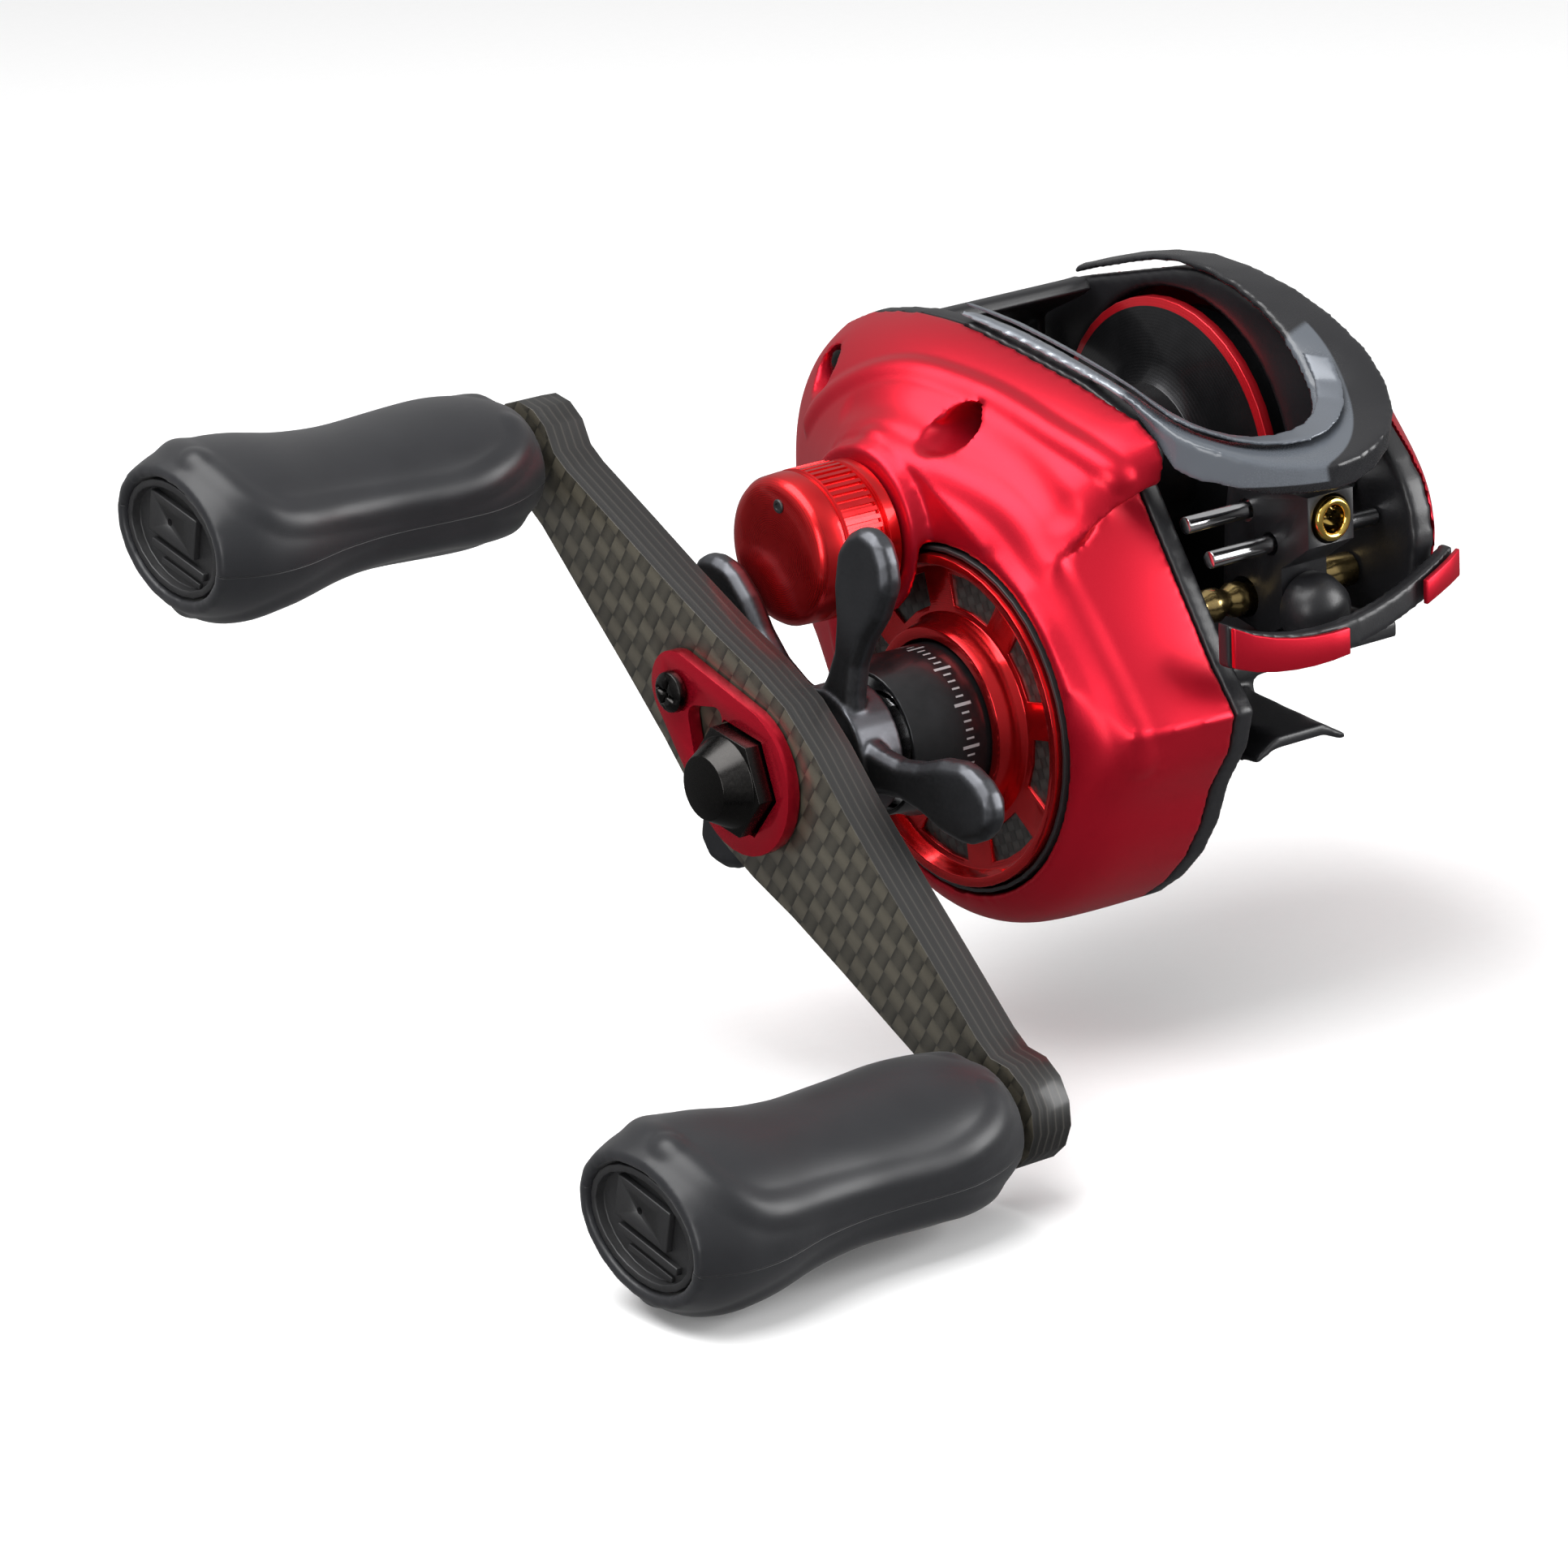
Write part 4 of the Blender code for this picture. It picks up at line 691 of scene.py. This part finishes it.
# %% Bevelled small parts
fine_parts = {
    "drag_ring": 0.18, "handle_arm": 0.35, "nut_retainer": 0.22, "handle_nut": 0.2, "hub_sleeve": 0.12,
    "retainer_screw": 0.1, "cover_screw_rear": 0.12, "cover_screw_top": 0.12, "cover_screw_lower": 0.12,
    "grip_cap_upper": 0.15, "grip_cap_lower": 0.15, "line_guide": 0.2, "spool": 0.1,
    "guide_bar_front": 0.1, "guide_bar_rear": 0.1, "pawl_cap": 0.2, "handle_spacer": 0.1, "worm_shaft": 0.03,
    "brace_insert_handle_side": 0.15, "brace_insert_palm_side": 0.15, "drag_seal_ring": 0.08,
    "brake_dial": 0.15,
}
for name, width in fine_parts.items():
    piece = copy_of(name, name + "_fine")
    apply_modifier(piece, "BEVEL", width=width * 0.001, segments=2, limit_method="ANGLE",
                   angle_limit=radians(38), harden_normals=False)
    settle(piece, name, 40.0)

# %% [markdown]
# The tension knob is turned from bar. Its grip is a band of straight flutes, cut one after another
# with a pointed wheel. A ring of faces is drawn out step by step along the axis, and then every
# second face of the band is inset and pushed in.


# %% Turning by hand
def turned_piece(name, y, z, profile, sides, finish):
    """A solid drawn out along X from a disc: profile is (x, radius) in millimetres."""
    bpy.ops.object.select_all(action="DESELECT")
    first_x, first_radius = profile[0]
    bpy.ops.mesh.primitive_circle_add(vertices=sides, radius=first_radius * 0.001, fill_type="NGON",
                                      location=(first_x * 0.001, y * 0.001, z * 0.001), rotation=(0, pi / 2, 0))
    piece = bpy.context.object
    piece.name = name
    bpy.ops.object.transform_apply(location=True, rotation=True, scale=True)
    bpy.ops.object.mode_set(mode="EDIT")
    bpy.ops.mesh.select_all(action="SELECT")
    for (from_x, from_radius), (to_x, to_radius) in zip(profile, profile[1:]):
        step = ((to_x - from_x) * 0.001, 0, 0)
        bpy.ops.mesh.extrude_region_move(TRANSFORM_OT_translate={"value": step})
        share = to_radius / from_radius
        bpy.ops.transform.resize(value=(1, share, share), center_override=(to_x * 0.001, y * 0.001, z * 0.001))
    bpy.ops.mesh.select_mode(type="VERT")
    bpy.ops.mesh.select_all(action="DESELECT")
    bpy.ops.mesh.select_non_manifold()
    if any(vertex.select for vertex in bmesh.from_edit_mesh(piece.data).verts):
        bpy.ops.mesh.edge_face_add()
    bpy.ops.mesh.select_all(action="SELECT")
    bpy.ops.mesh.normals_make_consistent(inside=False)
    bpy.ops.object.mode_set(mode="OBJECT")
    piece.data.materials.clear()
    piece.data.materials.append(finish.material)
    return piece


def flute(piece, low_x, high_x, y, z, sides, width, depth):
    """Sinks every second face of the band between low_x and high_x."""
    bpy.ops.object.mode_set(mode="EDIT")
    bpy.ops.mesh.select_all(action="DESELECT")
    mesh = bmesh.from_edit_mesh(piece.data)
    bpy.ops.mesh.select_mode(type="FACE")
    for face in mesh.faces:
        middle = face.calc_center_median() * 1000
        turn = atan2(middle.z - z, middle.y - y) / (2 * pi) * sides
        face.select_set(low_x < middle.x < high_x and int(turn + sides) % 2 == 0 and abs(face.normal.x) < 0.3)
    bmesh.update_edit_mesh(piece.data)
    bpy.ops.mesh.inset(thickness=width * 0.001, depth=-depth * 0.001, use_individual=True)
    bpy.ops.object.mode_set(mode="OBJECT")


low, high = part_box("tension_knob")
front, back, size = low.x * 1000, high.x * 1000, (high.z - low.z) * 500
knob = turned_piece("tension_knob_turned", spool_y, spool_z, [
    (back, size - 0.6), (back - 0.3, size - 0.3), (back - 1.5, size - 0.3), (back - 1.8, size - 0.8),
    (back - 2.2, size - 0.8), (back - 2.5, size - 0.05), (back - 7.1, size - 0.05), (back - 7.4, size - 0.5),
    (back - 7.7, size - 0.5), (back - 8.0, size - 0.1), (front + 1.2, size - 0.2), (front + 0.6, size - 0.55),
    (front + 0.2, size - 1.2), (front + 0.05, size - 2.0), (front, size - 3.2)], 112, knob_red)
flute(knob, back - 7.0, back - 2.6, spool_y, spool_z, 112, 0.05, 0.28)
settle(knob, "tension_knob", 32.0)
pin = turned_piece("tension_knob_pin", spool_y - 1.2, spool_z + 5.4, [
    (front + 0.3, 0.78), (front - 0.10, 0.78), (front - 0.22, 0.66), (front - 0.22, 0.42), (front - 0.05, 0.36)],
    24, cap_black)
bpy.ops.object.shade_smooth_by_angle(angle=radians(40))
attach(pin, "tension_body")
print("knob", len(knob.data.polygons), "faces, pin", len(pin.data.polygons))

# %% [markdown]
# The line runs through a small gold-coloured ring. It is swept round by the Spin tool from a rounded
# section, which is first drawn out to the depth of the ring.

# %% Line guide ring
low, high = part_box("guide_ring")
ring_x, ring_z = (low.x + high.x) / 2, (low.z + high.z) / 2
outer, depth = (high.z - low.z) / 2, high.y - low.y
half_wall, section_radius = 0.0005, 0.00048
bpy.ops.object.select_all(action="DESELECT")
section_place = (ring_x, low.y + half_wall, ring_z + outer - half_wall)
bpy.ops.mesh.primitive_circle_add(vertices=20, radius=section_radius, location=section_place,
                                  rotation=(0, pi / 2, 0))
eye = bpy.context.object
eye.name = "guide_ring_polished"
bpy.ops.object.transform_apply(location=True, rotation=True, scale=True)
bpy.ops.object.mode_set(mode="EDIT")
bpy.ops.mesh.select_all(action="DESELECT")
mesh = bmesh.from_edit_mesh(eye.data)
for vertex in mesh.verts:
    vertex.select_set(vertex.co.y > low.y + 0.00055)
mesh.select_flush_mode()
bmesh.update_edit_mesh(eye.data)
bpy.ops.transform.translate(value=(0, depth - 0.001, 0))
bpy.ops.mesh.select_all(action="SELECT")
bpy.ops.mesh.spin(steps=64, angle=2 * pi, center=(ring_x, low.y, ring_z), axis=(0, 1, 0))
bpy.ops.mesh.select_all(action="SELECT")
bpy.ops.mesh.remove_doubles(threshold=0.000005)
bpy.ops.mesh.normals_make_consistent(inside=False)
bpy.ops.object.mode_set(mode="OBJECT")
eye.data.materials.append(ring_gold.material)
settle(eye, "guide_ring", 50.0)

# %% [markdown]
# Behind the windows of the drag ring lies a ring of woven carbon that keeps dirt out. It is a flat
# annulus set just below the web of the ring.

# %% Carbon ring behind the windows
back, front, inner, outer = -29.1, -29.8, 12.1, 16.2
liner_profile = [(back, inner), (back, outer), (front, outer), (front, inner)]
liner = turned_piece("drag_window_liner", crank_y, crank_z, liner_profile, 72, washer_carbon)
bpy.ops.object.mode_set(mode="EDIT")
bpy.ops.mesh.select_all(action="DESELECT")
bpy.ops.mesh.select_mode(type="FACE")
mesh = bmesh.from_edit_mesh(liner.data)
for face in mesh.faces:
    face.select_set(len(face.verts) > 8)
bmesh.update_edit_mesh(liner.data)
bpy.ops.mesh.delete(type="FACE")
bpy.ops.mesh.select_mode(type="EDGE")
bpy.ops.mesh.select_non_manifold()
bpy.ops.mesh.bridge_edge_loops()
bpy.ops.mesh.select_all(action="SELECT")
bpy.ops.mesh.normals_make_consistent(inside=False)
bpy.ops.object.mode_set(mode="OBJECT")
bpy.ops.object.shade_smooth_by_angle(angle=radians(30))
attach(liner, nodes["drag_ring"]["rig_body"])
print("liner", len(liner.data.polygons), "faces")

# %% [markdown]
# Inside each grip cap sits the pull tab that opens it for oiling: a small raised plate with a pin
# hole, and two bars below it. The same pieces are made for each grip.


# %% Grip cap tabs
def block(name, place, size, tilt, bevel, finish):
    bpy.ops.object.select_all(action="DESELECT")
    bpy.ops.mesh.primitive_cube_add(size=0.001, location=tuple(v * 0.001 for v in place), rotation=(tilt, 0, 0))
    piece = bpy.context.object
    piece.name = name
    piece.scale = size
    bpy.ops.object.transform_apply(location=True, rotation=True, scale=True)
    apply_modifier(piece, "BEVEL", width=bevel * 0.001, segments=3, limit_method="ANGLE")
    bpy.ops.object.shade_smooth_by_angle(angle=radians(40))
    piece.data.materials.clear()
    piece.data.materials.append(finish.material)
    return piece


def cut(piece, cutter):
    bpy.ops.object.select_all(action="DESELECT")
    piece.select_set(True)
    bpy.context.view_layer.objects.active = piece
    apply_modifier(piece, "BOOLEAN", operation="DIFFERENCE", object=cutter, solver="EXACT")
    bpy.data.objects.remove(cutter)


cap_face = -101.9
for which in ("upper", "lower"):
    low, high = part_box("grip_bolt_" + which)
    y, z = (low.y + high.y) * 500, (low.z + high.z) * 500
    tilt = radians(13)
    plate = block("grip_tab_" + which, (cap_face - 0.35, y + 0.3, z + 1.4), (0.9, 8.6, 4.6),
                  tilt, 0.18, cap_black)
    pin_hole = [(cap_face - 2.0, 0.42), (cap_face, 0.42)]
    cut(plate, turned_piece("tab_hole", y + 0.6, z + 1.6, pin_hole, 20, cap_black))
    bar = block("grip_bar_" + which, (cap_face - 0.3, y - 0.1, z - 2.3), (0.8, 9.8, 0.9),
                tilt, 0.15, cap_black)
    ledge = block("grip_ledge_" + which, (cap_face - 0.15, y - 0.1, z - 3.9), (0.5, 7.2, 0.7),
                  tilt, 0.12, cap_black)
    for piece in (plate, bar, ledge):
        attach(piece, "grip_" + which + "_body")
print("grip tabs made")

# %% [markdown]
# The small screw that locks the nut's retainer takes a cross-head driver, so two crossing slots are
# cut into its head. The slots are blocks with a bevel, like the tip of the driver.

# %% Cross slots
low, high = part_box("retainer_screw")
y, z = (low.y + high.y) * 500, (low.z + high.z) * 500
screw_head = bpy.data.objects["retainer_screw_fine"]
for tilt in (radians(20), radians(110)):
    cut(screw_head, block("driver_blade", (low.x * 1000 + 0.1, y, z), (1.6, 3.0, 0.62), tilt, 0.1, black_steel))
print("screw head", len(screw_head.data.polygons), "faces")

# %% [markdown]
# The floor is a wide pale sheet just under the lowest point. Three large soft lights do the work: a
# key above and to the left, a long strip on the right for the edges, and a weak fill from the
# viewer's side. The room itself is nearly white.

# %% Floor, lights and room
bpy.ops.object.select_all(action="DESELECT")
floor_height = cad_box[0].z - 0.0005
bpy.ops.mesh.primitive_plane_add(size=8.0, location=(0.0, 0.0, floor_height))
floor = bpy.context.object
floor.name = "studio_floor"
paper = Finish("studio_paper", Roughness=0.9)
tooth = grain(paper, 2.0, 2.0)
paper.give(Base_Color=mix(paper, tooth, (0.93, 0.93, 0.93), (0.95, 0.95, 0.95)))
floor.data.materials.append(paper.material)
floor.visible_glossy = False


def soft_light(name, place, aim, size, power):
    data = bpy.data.lights.new(name, "AREA")
    data.shape = "RECTANGLE"
    data.size, data.size_y = size
    data.energy = power
    light = bpy.data.objects.new(name, data)
    bpy.context.scene.collection.objects.link(light)
    light.location = place
    light.rotation_mode = "QUATERNION"
    light.rotation_quaternion = (Vector(aim) - Vector(place)).to_track_quat("-Z", "Y")
    return light


centre = (cad_box[0] + cad_box[1]) / 2
soft_light("key_light", (-0.30, 0.05, 0.60), centre, (0.70, 0.50), 6.3)
soft_light("side_light", (0.50, -0.50, 0.22), centre, (0.35, 0.50), 5.0)
soft_light("front_light", (-0.70, -0.40, 0.15), centre, (0.25, 0.45), 2.2)
room = bpy.data.worlds.new("studio_room")
room.use_nodes = True
background = room.node_tree.nodes["Background"]
sky = room.node_tree.nodes.new("ShaderNodeTexCoord")
split = room.node_tree.nodes.new("ShaderNodeSeparateXYZ")
fade = room.node_tree.nodes.new("ShaderNodeMapRange")
for socket, value in zip(fade.inputs[1:5], (-0.40, 0.80, 0.13, 0.58)):
    socket.default_value = value
room.node_tree.links.new(sky.outputs["Generated"], split.inputs[0])
room.node_tree.links.new(split.outputs["Z"], fade.inputs[0])
room.node_tree.links.new(fade.outputs[0], background.inputs["Strength"])
background.inputs["Color"].default_value = (1.0, 1.0, 1.0, 1.0)
bpy.context.scene.view_settings.view_transform = "Standard"
bpy.context.scene.world = room
print("floor at", round(floor_height * 1000, 2), "mm")

# %% [markdown]
# The camera looks down on the handle side from in front, through a long lens, so that the near grip
# and the far cover keep their true proportions.

# %% Camera
camera_data = bpy.data.cameras.new("camera")
camera_data.lens = 157.94
camera_data.sensor_width = 36.0
camera_data.clip_start = 0.01
camera_data.clip_end = 20.0
camera = bpy.data.objects.new("camera", camera_data)
bpy.context.scene.collection.objects.link(camera)
right = Vector((0.79076, -0.61058, -0.04357))
up = Vector((0.22179, 0.21946, 0.95008))
turned = Matrix((right, up, right.cross(up))).transposed().to_4x4()
camera.matrix_world = Matrix.Translation((-0.4668, -0.5566, 0.2266)) @ turned
bpy.context.scene.camera = camera
print("camera at", [round(v, 3) for v in camera.location])
